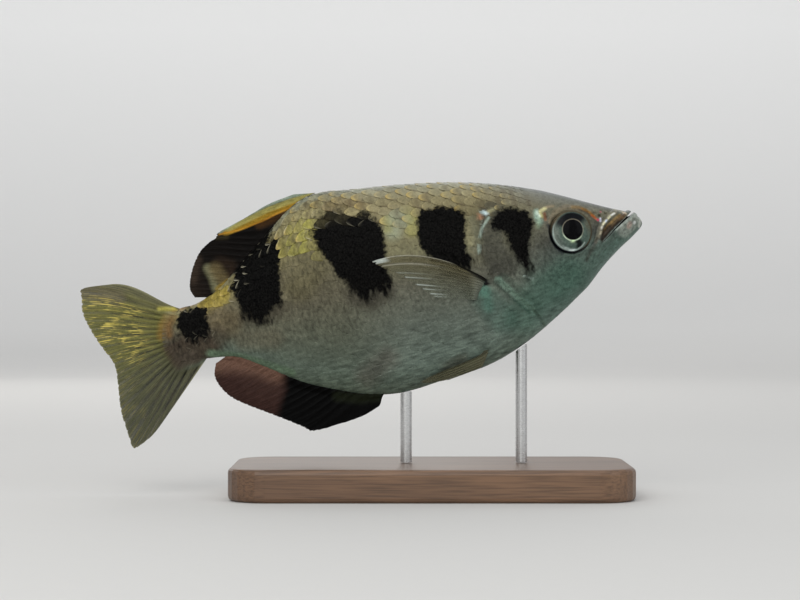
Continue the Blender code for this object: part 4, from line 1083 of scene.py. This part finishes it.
def eye_paint(ahead, high):
    """The iris at places on the eye, in mm ahead of and above its middle."""
    radius = np.hypot(ahead, high)
    angle = np.degrees(np.arctan2(high, ahead))
    from_pupil = np.hypot(ahead - PUPIL_AHEAD, high - PUPIL_UP)
    around = np.degrees(np.arctan2(high - PUPIL_UP, ahead - PUPIL_AHEAD))
    paint = np.tile(linear((80, 95, 86)), (len(radius), 1))

    def lay(amount, colour):
        nonlocal paint
        paint = blend(paint, linear(colour), amount)

    def beside(line):
        return np.abs(line_distance(line, ahead, high)[0])

    lay(0.8 * hump(40, turned_from(angle, 185)) * ease(3.6, 4.6, radius), (114, 120, 112))
    lay(0.7 * hump(26, turned_from(angle, 5)) * ease(3.9, 5.0, radius), (86, 82, 66))
    lay(0.5 * hump(0.4, radius - 4.7) * (high < 0), (62, 78, 72))
    brow = 1 - ease(60, 95, turned_from(angle, 82))
    lay(brow * ease(5.4, 5.8, from_pupil), (88, 80, 64))
    arch = 1 - ease(50, 80, turned_from(around, 88))
    lay(0.97 * arch * (1 - ease(5.0, 5.8, from_pupil)), (11, 10, 15))
    blotch = beside(((0.9, -3.0), (1.5, -4.0), (1.2, -5.0)))
    lay(0.95 * (1 - ease(0.35, 1.5, blotch)), (9, 11, 13))
    # Painted highlights: pale arcs and a bright white glint along the iris's lower edge.
    arc = 1 - ease(50, 85, turned_from(angle, 215))
    lay(arc * hump(0.2, radius - 5.8), (158, 172, 166))
    lay(0.7 * hump(0.22, beside(((0.9, -5.6), (2.0, -5.2), (3.1, -4.3)))), (176, 190, 182))
    lay(hump(0.3, radius - 5.75) * hump(9, turned_from(angle, 259)), (232, 244, 242))
    lay(0.7 * hump(0.3, radius - 5.4) * hump(14, turned_from(angle, 238)), (176, 190, 184))
    rim = ease(6.0, 6.25, radius)
    lay(rim, (10, 12, 18))
    lay(0.9 * (1 - ease(80, 135, turned_from(angle, 50))) * rim, (84, 76, 58))
    ring = hump(0.14, from_pupil - PUPIL_RADIUS - 0.14)
    lay(0.6 * ring, (146, 138, 120))
    # Painted highlights: the ring's lower arc made brighter, and a green-white glint at its bottom.
    low = 1 - ease(40, 75, turned_from(around, 250))
    lay(low * hump(0.2, from_pupil - PUPIL_RADIUS - 0.16), (190, 206, 180))
    spark = np.hypot(from_pupil - PUPIL_RADIUS - 0.3, turned_from(around, 256) / 24)
    lay(hump(0.42, spark), (216, 240, 190))
    lay(1 - ease(PUPIL_RADIUS - 0.12, PUPIL_RADIUS + 0.05, from_pupil), (3, 3, 4))
    return paint


def face_outwards():
    bpy.ops.object.mode_set(mode="EDIT")
    bpy.ops.mesh.select_all(action="SELECT")
    bpy.ops.mesh.normals_make_consistent(inside=False)
    bpy.ops.object.mode_set(mode="OBJECT")


eye_finish, tree, shader = new_material("glass_eye", (0.05, 0.05, 0.05), 0.4, Coat_Weight=0.4,
                                        Coat_Roughness=0.03, Coat_IOR=1.2,
                                        Specular_IOR_Level=0.03)
flecks = grain(tree, fish_axes(tree), (1500.0, 1500.0, 1500.0), 3.0)
feed(shader, Metallic=attribute(tree, "silver"),
     Base_Color=scale_colour(tree, attribute(tree, "paint", "Color"),
                             spread(tree, flecks, 0.3, 0.7, 0.78, 1.22)))
add_bump(shader, flecks, 0.3, 0.0002)

for side, word in ((1, "left"), (-1, "right")):
    bpy.ops.object.select_all(action="DESELECT")
    bpy.ops.mesh.primitive_uv_sphere_add(segments=160, ring_count=192, radius=1)
    eyeball = bpy.context.object
    eyeball.name = "glass_eye_" + word
    ahead, high, outwards = mesh_points(eyeball.data).T
    high = side * high
    depth = np.where(outwards > 0, EYE_BULGE, EYE_DEPTH)
    local = np.stack([ahead * EYE_RADIUS, side * outwards * depth, high * EYE_RADIUS], -1)
    turn = Matrix.Rotation(-side * EYE_TURN, 3, "Z")
    ring = body(np.array([EYE_AT[0]]), np.linspace(*EYE_LEVELS))
    half_width = np.interp(-EYE_AT[1] * PERCENT, -ring[:, 2], ring[:, 1])
    middle = (-EYE_AT[0] * PERCENT, side * (half_width - EYE_SINK), EYE_AT[1] * PERCENT)
    move_points(eyeball, posed(local @ np.array(turn).T + middle))
    paint = eye_paint(ahead * EYE_RADIUS / MM, high * EYE_RADIUS / MM)
    keep(eyeball.data, paint=paint, silver=0.4 * ease(0.08, 0.3, paint.mean(axis=1)))
    face_outwards()
    bpy.ops.object.shade_smooth()
    eyeball.data.materials.append(eye_finish)
    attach(eyeball, "root")
    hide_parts("eye_" + word)

# Dorsal fin. Five stout spines lie back along its front edge, golden yellow under a painted pale
# blue highlight on the edge, and twelve soft rays carry a black membrane, cream at the foot of the
# rear rays. Each fin is one sheet whose rays stand proud on both faces, forked towards the edge,
# with its root in the flesh.
MEMBRANE = 0.16 * MM
FIN_FOOT = -0.05
FOOT_DEPTH = 1.3 * MM
ROOT_GAP = 0.0003
RAY_WIDTHS = (0.2, 0.075)
SPINE_WIDTH = 0.26
GILT_ROWS = 5.0
GILT_TONE = (232, 210, 108)


def ray_profile(place, along, forks):
    """How strongly a ray stands out at a place counted in rays, with the rays forking twice."""
    off = np.abs(place - np.round(place))
    first = 0.21 * ease(forks[0], 1.0, along)
    second = 0.105 * ease(forks[1], 1.1, along)
    away = np.abs(np.abs(off - first) - second)
    at_root, at_tip = RAY_WIDTHS
    return hump(at_root + (at_tip - at_root) * np.clip(along, 0, 1), away)


def fin_sheet(name, rays, rows, per_ray, spines, thickness, forks=(0.3, 0.72), scallop=0.03,
              reach=1.0):
    """A closed fin from its rays' paths, with each point's ray count, share and ridge kept.

    The thickness is what a ray's root, a ray's tip and the fleshy foot add to the membrane.
    """
    count = len(rays)
    at_root, at_tip, at_foot = thickness

    def shape(across, along):
        place = across * (count - 1)
        ridge = ray_profile(place, along, forks)
        soft = ease(spines - 1, spines - 0.5, place) if spines else np.ones_like(place)
        notch = scallop * (1 - ridge) * np.where(soft > 0.5, 0.5, 1.0)
        t = FIN_FOOT + along * (reach - FIN_FOOT)
        t = t * (1 - notch * ease(0.6, 1.0, along))
        base = np.clip(np.floor(place).astype(int), 0, count - 2)
        near = [np.clip(base + k, 0, count - 1) for k in (-1, 0, 1, 2)]
        table = np.stack([ray(t) for ray in rays])
        index = np.arange(len(place))
        a, b, c, d = (table[n, index] for n in near)
        s = (place - base)[:, None]
        return b + 0.5 * s * (c - a + s * (2 * a - 5 * b + 4 * c - d + s * (3 * (b - c) + d - a)))

    sheet, across, along = grid_on(name, (count - 1) * per_ray, rows, shape)
    place = across * (count - 1)
    ridge = ray_profile(place, along, forks)
    if spines:
        stout = hump(SPINE_WIDTH, place - np.round(place))
        ridge = np.where(place < spines - 0.5, stout, ridge)
    thick = MEMBRANE + ridge * (at_root + (at_tip - at_root) * along)
    thick = thick + at_foot * (1 - ease(0.0, 0.2, along))
    set_weights(sheet, thick / thick.max())
    keep(sheet.data, ridge=ridge, ray=place, share=along)
    apply_modifier(sheet, "SOLIDIFY", thickness=float(thick.max()), offset=0.0,
                   vertex_group="thickness")
    face_outwards()
    bpy.ops.object.shade_smooth_by_angle(angle=math.radians(60))
    return sheet


def read_fin(mesh):
    """Side-view places of a fin's points, then their ridge, share and ray count."""
    behind, up, _ = side_view(mesh)
    values = []
    for name in ("ridge", "share", "ray"):
        kept = np.empty(len(mesh.vertices), np.float32)
        mesh.attributes[name].data.foreach_get("value", kept)
        values.append(kept.astype(float))
    return behind, up, *values


def flat_ray(root, tip, bow):
    """A ray in the fish's middle plane from root to tip, bowed across its length."""
    start = np.array((-root[0] * PERCENT, 0.0, root[1] * PERCENT))
    chord = np.array((-tip[0] * PERCENT, 0.0, tip[1] * PERCENT)) - start
    length = np.linalg.norm(chord)
    across = np.array((-chord[2], 0.0, chord[0])) / length

    def path(t):
        t = np.where(t < 0, t / -FIN_FOOT * FOOT_DEPTH / length, t)
        swell = np.where(t > 0, 6.75 * t * t * (1 - t), 0)[:, None]
        return start + chord * t[:, None] + across * (bow * PERCENT) * swell

    return path


def edge_root(behind, column, lift):
    """A root on the back (column 1) or belly line (2), lifted off it by lift metres."""
    slope = float(station(column, behind + 0.5) - station(column, behind - 0.5))
    length = math.hypot(1, slope)
    sign = 1 if column == 1 else -1
    away = lift / PERCENT
    return (behind - sign * slope / length * away,
            float(station(column, behind)) + sign * away / length)


def fin_finish(name, segments, clear, gilt=False):
    """A fin's finish: painted horn and membrane, its rays ringed by fine joints."""
    made, tree, shader = new_material(name, (0.3, 0.3, 0.2), 0.46, Coat_Weight=0.06,
                                      Coat_Roughness=0.25, Coat_IOR=1.3, Specular_IOR_Level=0.02)
    share, ridge, ray = (attribute(tree, label) for label in ("share", "ridge", "ray"))
    wave = math_node(tree, "SINE", times(tree, share, segments * 2 * math.pi))
    joints = times(tree, math_node(tree, "MULTIPLY_ADD", wave, 0.5, 0.5), ridge)
    fibres = grain(tree, fish_axes(tree), (2200.0, 2200.0, 2200.0))
    down_rays = add_node(tree, "ShaderNodeCombineXYZ", {"X": ray, "Y": share}).outputs[0]
    threads = grain(tree, down_rays, (7.0, 5.0, 1.0))
    tone = times(tree, spread(tree, fibres, 0.3, 0.7, 0.84, 1.16),
                 spread(tree, threads, 0.3, 0.7, 0.74, 1.26),
                 math_node(tree, "MULTIPLY_ADD", joints, -0.08, 1.04))
    colour = scale_colour(tree, attribute(tree, "paint", "Color"), tone)
    if gilt:
        rows = times(tree, ray, GILT_ROWS)
        from_row = math_node(tree, "SUBTRACT", math_node(tree, "FRACT", rows), 0.5)
        beside = math_node(tree, "ABSOLUTE", from_row)
        row = math_node(tree, "FLOOR", rows)
        down_rows = add_node(tree, "ShaderNodeCombineXYZ", {"X": row, "Y": share}).outputs[0]
        dashes = grain(tree, down_rows, (5.37, 5.0, 1.0), 3.0)
        clumps = grain(tree, down_rays, (0.7, 4.0, 7.0))
        glow = times(tree, attribute(tree, "gilt"),
                     spread(tree, dashes, 0.46, 0.6, 0.0, 1.0, "SMOOTHSTEP"),
                     spread(tree, clumps, 0.38, 0.58, 0.1, 1.0),
                     spread(tree, beside, 0.45, 0.1, 0.0, 1.0))
        colour = scale_colour(tree, colour, spread(tree, beside, 0.3, 0.5, 1.0, 0.72))
        colour = mix_colour(tree, glow, colour, linear(GILT_TONE))
    feed(shader, Base_Color=colour)
    add_bump(shader, math_node(tree, "MULTIPLY_ADD", fibres, 0.4, joints), 0.3, 0.00008)
    if clear:
        feed(shader, Alpha=attribute(tree, "body"))
    return made


def soft_rays(roots, tips, count, column, bow):
    """Soft rays from even steps along the back (column 1) or belly (2) to a line of tips."""
    rays = []
    for i, tip in enumerate(line_through(tips, count)):
        share = i / (count - 1)
        root = edge_root(roots[0] + (roots[1] - roots[0]) * share, column, ROOT_GAP)
        rays.append(flat_ray(root, tip, bow * (1 - share)))
    return rays


DORSAL_SPINE_ROOTS = (65.4, 67.9, 70.4, 73.0, 75.6)
DORSAL_SPINE_TIPS = ((69.0, 22.75), (74.6, 22.0), (80.6, 20.2), (86.0, 18.75), (87.0, 17.7))
DORSAL_SOFT_ROOTS = (77.8, 92.2)
DORSAL_SOFT_TIPS = ((88.2, 17.3), (90.6, 15.9), (92.6, 13.5), (94.0, 10.9), (94.6, 8.6),
                    (94.0, 6.75))
DORSAL_SOFT_RAYS = 12
DORSAL_THICKNESS = (0.42 * MM, 0.12 * MM, 1.2 * MM)
DORSAL_WASHES = (
    (((66.0, 20.2), (70.4, 19.6), (73.8, 19.0), (77.4, 18.3)), 0.3, 1.2, (62, 42, 22), 0.8),
    (((63.8, 21.1), (67.3, 20.9), (71.4, 20.5), (75.8, 19.9), (80.3, 18.9), (84.6, 18.4)), 0.42,
     0.5, (146, 116, 38), 0.95),
    (((63.0, 22.0), (66.0, 21.8), (70.0, 21.5), (75.0, 20.9), (80.0, 19.8), (84.0, 18.9)), 0.3,
     0.5, (154, 146, 84), 0.85),
    # Painted highlight: a pale blue-grey band along the fin's upper edge.
    (((62.0, 22.9), (64.4, 22.8), (69.7, 22.8), (75.1, 22.2), (80.8, 20.8), (85.8, 19.1)), 0.4,
     0.5, (146, 160, 142), 0.85),
    (((66.0, 20.7), (70.7, 20.2), (73.7, 19.6), (76.0, 19.0), (78.2, 18.7), (82.1, 18.2),
      (86.0, 18.3)), 0.0, 0.32, (180, 128, 44), 0.75),
    (((86.7, 17.8), (84.6, 17.4)), 0.0, 0.9, (58, 52, 34), 0.6),
    (((91.6, 14.2), (92.6, 12.4), (93.4, 10.4)), 0.2, 1.3, (56, 46, 38), 0.7),
    (((87.2, 12.4), (85.4, 11.4), (85.9, 9.6)), 0.3, 2.0, (42, 32, 24), 0.75),
    (((90.0, 12.0), (89.4, 9.8), (89.3, 7.6)), 0.0, 1.5, (122, 120, 92), 0.8),
    (((88.5, 11.4), (87.8, 9.4), (87.0, 7.8)), 0.4, 1.9, (100, 88, 60), 0.8),
    (((86.4, 8.4), (89.0, 7.4)), 0.2, 0.6, (150, 124, 44), 0.6),
)
dorsal_rays = [
    flat_ray(edge_root(root, 1, ROOT_GAP), tip, -0.1 * i)
    for i, (root, tip) in enumerate(zip(DORSAL_SPINE_ROOTS, DORSAL_SPINE_TIPS))
]
dorsal_rays += soft_rays(DORSAL_SOFT_ROOTS, DORSAL_SOFT_TIPS, DORSAL_SOFT_RAYS, 1, -0.5)
dorsal = fin_sheet("dorsal_sail", dorsal_rays, 60, 12, len(DORSAL_SPINE_ROOTS), DORSAL_THICKNESS)
behind, up, ridge, _, _ = read_fin(dorsal.data)
paint = tone_at(((80.0, (11, 9, 8)), (90.0, (16, 13, 11)), (94.0, (34, 27, 22))), behind)
paint = wash(paint * (1 + 0.3 * ridge[:, None]), behind, up, DORSAL_WASHES)
keep(dorsal.data, paint=paint)
dorsal.data.materials.append(fin_finish("dark_fin_horn", 46, False))
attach(dorsal, "root")
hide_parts("dorsal_fin")

# Anal fin. Three spines, the third the longest, then a long sheet of soft rays, jet black in
# front and dark red-brown behind a nearly upright border.
ANAL_SPINES = ((60.9, (62.6, -24.4)), (62.8, (67.0, -25.6)), (64.9, (76.2, -26.1)))
ANAL_SOFT_ROOTS = (67.2, 91.4)
ANAL_SOFT_TIPS = (
    (78.4, -24.8), (82.0, -22.2), (85.6, -19.7), (88.8, -17.5), (91.6, -15.2), (93.3, -12.6),
    (93.9, -10.0), (93.0, -7.6),
)
ANAL_SOFT_RAYS = 16
ANAL_THICKNESS = (0.4 * MM, 0.12 * MM, 1.2 * MM)
ANAL_BORDER = ((79.5, -12.5), (80.4, -16.5), (82.2, -19.4), (84.0, -22.5))
ANAL_WASHES = (
    (((92.6, -7.4), (89.0, -8.0), (85.0, -9.6), (81.2, -12.2)), 0.4, 3.4, (114, 86, 72), 0.75),
    (((62.0, -22.2), (66.0, -21.6), (70.0, -20.2)), 0.2, 1.6, (32, 36, 24), 0.7),
)
anal_rays = [flat_ray(edge_root(root, 2, ROOT_GAP), tip, 0.3) for root, tip in ANAL_SPINES]
anal_rays += soft_rays(ANAL_SOFT_ROOTS, ANAL_SOFT_TIPS, ANAL_SOFT_RAYS, 2, 0.5)
anal = fin_sheet("anal_sail", anal_rays, 54, 10, len(ANAL_SPINES), ANAL_THICKNESS, scallop=0.05)
behind, up, ridge, share, _ = read_fin(anal.data)
from_border = behind - np.interp(-up, [-p[1] for p in ANAL_BORDER], [p[0] for p in ANAL_BORDER])
paint = tone_at(((0.0, (66, 48, 42)), (0.5, (60, 42, 37)), (1.0, (50, 33, 29))), share)
paint = wash(paint * (0.92 + 0.16 * ridge[:, None]), behind, up, ANAL_WASHES[:1])
black = np.tile(linear((6, 6, 6)), (len(behind), 1)) * (1 + 0.15 * ridge[:, None])
black = wash(black, behind, up, ANAL_WASHES[1:])
paint = blend(black, paint, ease(-1.3, 1.5, from_border))
keep(anal.data, paint=paint)
anal.data.materials.append(fin_finish("anal_fin_horn", 46, False))
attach(anal, "root")
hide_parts("anal_fin")

# Tail fin. Branched rays fan from the tail stock's bowed end to a shallow fork. The membrane is
# thin, olive-yellow horn, with bright yellow streaks on the upper rays, and duller below.
CAUDAL_UPPER_TIP = (111.0, 13.6)
CAUDAL_LOWER_TIPS = ((112.7, -20.85), (109.2, -19.05), (104.4, -14.9))
CAUDAL_FORK = (
    (116.9, 14.1), (118.0, 9.7), (117.3, 5.8), (115.7, 1.3), (113.9, -3.0), (114.3, -8.0),
    (114.9, -13.4), (114.3, -20.9),
)
CAUDAL_ROOT_STEPS = 14
CAUDAL_ROOT_TOP = 5.25
CAUDAL_ROOT_FALL = 11.1
CAUDAL_REACH = 0.975
CAUDAL_THICKNESS = (0.5 * MM, 0.14 * MM, 0.9 * MM)
CAUDAL_WASHES = (
    (((116.9, 13.6), (113.5, 12.2), (109.5, 10.6)), 0.8, 1.6, (104, 98, 78), 0.8),
    (((98.8, 5.6), (101.8, 6.2)), 0.0, 0.7, (190, 180, 90), 0.85),
    (((102.6, 0.6), (101.8, 2.6), (100.6, 3.8)), 0.1, 1.6, (136, 106, 52), 0.75),
    (((101.6, 0.4), (100.9, 2.6), (100.0, 3.6)), 0.0, 1.2, (124, 86, 46), 0.6),
    (((101.5, -2.0), (100.4, -5.0)), 0.8, 1.6, (70, 58, 46), 0.7),
)


def caudal_roots():
    away = ROOT_GAP / PERCENT
    places = [edge_root(98.3, 1, ROOT_GAP)]
    for i in range(CAUDAL_ROOT_STEPS + 1):
        high = CAUDAL_ROOT_TOP - CAUDAL_ROOT_FALL * i / CAUDAL_ROOT_STEPS
        places.append((TAIL_END + tail_bow(high) + away, high))
    places.append((places[-1][0] - 0.1, places[-1][1] - 0.5))
    places.extend(edge_root(place, 2, ROOT_GAP) for place in (99.0, 97.0, 95.0))
    return places


tail_roots = caudal_roots()
principal = len(tail_roots) - 1 - len(CAUDAL_LOWER_TIPS)
tail_tips = [CAUDAL_UPPER_TIP, *line_through(CAUDAL_FORK, principal), *CAUDAL_LOWER_TIPS]
last = len(tail_roots) - 1
tail_rays = [
    flat_ray(root, tip, -1.2 * (1 - i / last) ** 3)
    for i, (root, tip) in enumerate(zip(tail_roots, tail_tips))
]
tail_fin = fin_sheet("tail_fan", tail_rays, 80, 12, 0, CAUDAL_THICKNESS, forks=(0.22, 0.6),
                     reach=CAUDAL_REACH)
behind, up, ridge, share, ray = read_fin(tail_fin.data)
down = ray / last
paint = tone_at(((0.0, (100, 98, 70)), (0.14, (108, 106, 62)), (0.45, (102, 101, 60)),
                 (0.6, (88, 88, 63)), (0.8, (80, 80, 62)), (1.0, (80, 80, 63))), down)
paint = paint * (0.92 + 0.3 * ridge * (1 - 0.4 * share))[:, None]
depths = draw.uniform(0.3, 1.0, last + 1)[np.floor(ray).astype(int)]
# Painted shade: dark lines in the grooves between the rays near the fin's foot, deeper on some
# rays.
groove_shade = hump(0.15, np.abs(ray - np.round(ray)) - 0.5) * ease(0.03, 0.1, down) * depths
groove_shade = groove_shade * (1 - ease(0.4, 0.85, share)) * ease(0.06, 0.18, share)
paint = paint * (1 - 0.95 * groove_shade)[:, None]
margin = hump(0.22, ray) + hump(0.25, ray - last) + 0.5 * ease(0.975, 1.0, share)
paint = blend(paint, linear((150, 148, 118)), 0.75 * margin)
paint = wash(paint, behind, up, CAUDAL_WASHES)
flesh = (1 - ease(0.04, 0.15, share)) * ease(0.0, 0.05, down)
paint = blend(paint, body_paint(behind, up), flesh)
gilt = ease(0.2, 0.5, share) * (1 - 0.35 * ease(0.9, 1.0, share)) * ease(0.06, 0.16, down)
gilt = gilt * (1 - ease(0.34, 0.62, down)) + 0.1 * share
opaque = 0.84 + 0.2 * ridge + 0.3 * (1 - ease(0.0, 0.3, share)) - 0.1 * ease(0.6, 1.0, share)
keep(tail_fin.data, paint=paint, gilt=gilt, body=np.clip(opaque, 0, 1))
tail_fin.data.materials.append(fin_finish("yellow_fin_horn", 64, True, True))
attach(tail_fin, "root")
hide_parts("caudal_fin")

# Pectoral fins. Glass-clear, sickle-shaped, on a fleshy foot behind each gill opening, and held
# out and back. The first ray is the strongest and palest, and some others end in white.
PECTORAL_RAYS = 12
PECTORAL_ROOTS = ((35.6, -2.8), (36.9, -5.0), (38.1, -7.2))
PECTORAL_TIPS = ((56.4, 4.9), (54.4, 3.1), (51.6, 1.2), (49.2, -1.2), (47.2, -3.3), (45.4, -5.2))
PECTORAL_SPREAD = 0.0172
PECTORAL_THICKNESS = (0.4 * MM, 0.12 * MM, 0.9 * MM)
PECTORAL_RISE = 2.6
PECTORAL_FLESH_FROM = 2.5
FOLDED_CLEAR = 0.0004
WHITE_TIPPED = ((4.0, 0.3), (5.2, 0.5), (7.0, 0.8), (8.2, 0.6), (9.6, 0.9), (10.4, 0.5))


def half_width_at(behind, up):
    """Half width of the body at side-view places, in metres."""
    back, belly, half, widest, above, below = (station(k, behind) for k in range(1, 7))
    share = np.clip((back - up) / (back - belly), 0, 1)
    over = (1 - np.clip(1 - share / widest, 0, 1) ** above) ** (1 / above)
    under = (1 - np.clip((share - widest) / (1 - widest), 0, 1) ** below) ** (1 / below)
    return half * PERCENT * np.where(share < widest, over, under)


def pectoral_ray(side, root, tip, share):
    """A ray that stands out from the flank as it runs back, the first one bowed upwards."""
    rise = PECTORAL_RISE * (1 - share) ** 3
    reach = PECTORAL_SPREAD * (1 - 0.45 * share)
    start = float(half_width_at(*root))

    def path(s):
        back = root[0] + (tip[0] - root[0]) * s
        high = root[1] + (tip[1] - root[1]) * s + rise * 4 * s * (1 - s)
        sweep = np.where(s < 0, s / -FIN_FOOT * FOOT_DEPTH * 1.3, reach * (0.75 * s + 0.25 * s * s))
        out = start + ROOT_GAP + FOLDED_CLEAR + sweep
        return np.stack([-back * PERCENT, side * out, high * PERCENT], -1)

    return path


clear_finish = fin_finish("clear_fin_horn", 50, True)
for side, word in ((1, "left"), (-1, "right")):
    feet = line_through(PECTORAL_ROOTS, PECTORAL_RAYS)
    ends = line_through(PECTORAL_TIPS, PECTORAL_RAYS)
    rays = [pectoral_ray(side, foot, end, i / (PECTORAL_RAYS - 1))
            for i, (foot, end) in enumerate(zip(feet, ends))]
    pectoral = fin_sheet("pectoral_blade_" + word, rays, 60, 12, 0, PECTORAL_THICKNESS,
                         forks=(0.45, 0.8), scallop=0.05)
    behind, up, ridge, share, ray = read_fin(pectoral.data)
    paint = tone_at(((0.0, (92, 86, 62)), (0.3, (90, 88, 70)), (1.0, (98, 104, 90))),
                    ray / (PECTORAL_RAYS - 1))
    paint = paint * (1 + 0.35 * ridge)[:, None]
    front = hump(0.2, ray) * ease(0.12, 0.28, share)
    front = front + 0.6 * hump(0.2, ray - 1.6) * ease(0.3, 0.6, share)
    paint = blend(paint, linear((176, 174, 160)), 0.85 * front)
    white = sum(much * hump(0.17, ray - k) for k, much in WHITE_TIPPED) * ease(0.5, 0.95, share)
    white = white + (1 - ease(0.6, 1.2, ray)) * ease(0.84, 0.93, share) * 0.75
    paint = blend(paint, linear((184, 192, 186)), white)
    foot = 1 - ease(0.02, 0.2, share)
    paint = blend(paint, body_paint(behind + PECTORAL_FLESH_FROM, up), foot)
    dark = (1 - ease(1.2, 3.0, ray + 8 * share)) * 0.95
    dark = dark + 0.75 * (1 - ease(0.2, 0.7, ray)) * (1 - ease(0.15, 0.36, share))
    dark = dark + 0.4 * hump(0.16, ray - 1.5) * (1 - ease(0.3, 0.5, share)) * ease(0.05, 0.2, share)
    dark = np.clip(dark, 0, 0.96)
    paint = blend(paint, linear((10, 10, 9)), dark)
    thin = 1 - 0.55 * ease(3.0, 10.0, ray)
    opaque = (0.34 + 0.3 * ridge) * thin + 0.55 * front + 0.8 * white + 0.9 * foot + dark
    keep(pectoral.data, paint=paint, body=np.clip(opaque, 0, 1))
    pectoral.data.materials.append(clear_finish)
    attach(pectoral, "root")
    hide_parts("pectoral_fin_" + word)

# Pelvic fins. A spine and five rays each, rooted in the belly below the pectoral fins and folded
# back against it, greyish olive, with a shadow line painted along the front edge. Turns are given
# in half circles.
PELVIC_LENGTHS = (13.0, 14.2, 13.4, 11.8, 9.6, 7.2)
PELVIC_ROOT = (37.8, 0.835)
PELVIC_ROOT_RUN = (1.6, 0.075)
PELVIC_TIP_TURN = 0.868
PELVIC_TIP_RUN = 0.055
PELVIC_CLEAR = 0.0008
PELVIC_LIFT = 0.0006
PELVIC_SINK = 0.0011
PELVIC_THICKNESS = (0.45 * MM, 0.15 * MM, 0.8 * MM)


def pelvic_ray(side, index):
    """A ray that runs back just clear of the belly."""
    share = index / (len(PELVIC_LENGTHS) - 1)
    root_behind = PELVIC_ROOT[0] + PELVIC_ROOT_RUN[0] * share
    root_turn = math.pi * (PELVIC_ROOT[1] + PELVIC_ROOT_RUN[1] * share)
    tip_turn = math.pi * (PELVIC_TIP_TURN + PELVIC_TIP_RUN * share)

    def path(s):
        behind = root_behind + PELVIC_LENGTHS[index] * s
        turn = root_turn + (tip_turn - root_turn) * s
        away = PELVIC_CLEAR * ease(FIN_FOOT, 0.14, s) + PELVIC_LIFT * s
        away = away - PELVIC_SINK * (1 - ease(FIN_FOOT, 0.04, s))
        point = body(behind, turn) + body_normal(behind, turn) * away[:, None]
        return point * (1, side, 1)

    return path


for side, word in ((1, "left"), (-1, "right")):
    rays = [pelvic_ray(side, i) for i in range(len(PELVIC_LENGTHS))]
    pelvic = fin_sheet("pelvic_blade_" + word, rays, 44, 14, 1, PELVIC_THICKNESS)
    _, _, ridge, share, ray = read_fin(pelvic.data)
    paint = np.tile(linear((92, 92, 72)), (len(share), 1))
    # Painted shade: the spine along the front edge is painted darker, a shadow line where the fin
    # lies against the belly.
    edge = hump(0.2, ray)
    paint = blend(paint, linear((106, 104, 84)), 0.5 * ridge)
    paint = blend(paint, linear((56, 56, 44)), 0.8 * edge)
    opaque = 0.5 + 0.3 * ridge + 0.5 * (1 - share) + 0.3 * edge
    keep(pelvic.data, paint=paint, body=np.clip(opaque, 0, 1))
    pelvic.data.materials.append(clear_finish)
    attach(pelvic, "root")
    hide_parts("pelvic_fin_" + word)

# Stand. An oiled walnut base carries the fish on two brushed steel rods, which reach its belly.
# All three keep the solid model's own shapes, and only their finishes are made here.
WALNUT_DARK = (0.055, 0.026, 0.013)
WALNUT_PALE = (0.25, 0.135, 0.07)
walnut, tree, shader = new_material("oiled_walnut", (0.16, 0.09, 0.05), 0.42, Coat_Weight=0.15,
                                    Coat_Roughness=0.3)
place = object_place(tree)
figure = grain(tree, place, (9.0, 95.0, 95.0), 6.0, Distortion=0.6)
pores = grain(tree, place, (60.0, 1800.0, 1800.0), 3.0)
feed(shader, Base_Color=scale_colour(tree, mix_colour(tree, figure, WALNUT_DARK, WALNUT_PALE),
                                     spread(tree, pores, 0.35, 0.6, 0.6, 1.05)))
add_bump(shader, pores, 0.25, 0.0001)

steel, tree, shader = new_material("brushed_steel", (0.6, 0.6, 0.6), 0.28, Metallic=1.0)
lines = grain(tree, object_place(tree), (300.0, 300.0, 9000.0))
feed(shader, Roughness=spread(tree, lines, 0.3, 0.7, 0.2, 0.4))

for name, finish in (("stand_base", walnut), ("stand_rod_front", steel), ("stand_rod_rear", steel)):
    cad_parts[name].data.materials.clear()
    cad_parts[name].data.materials.append(finish)
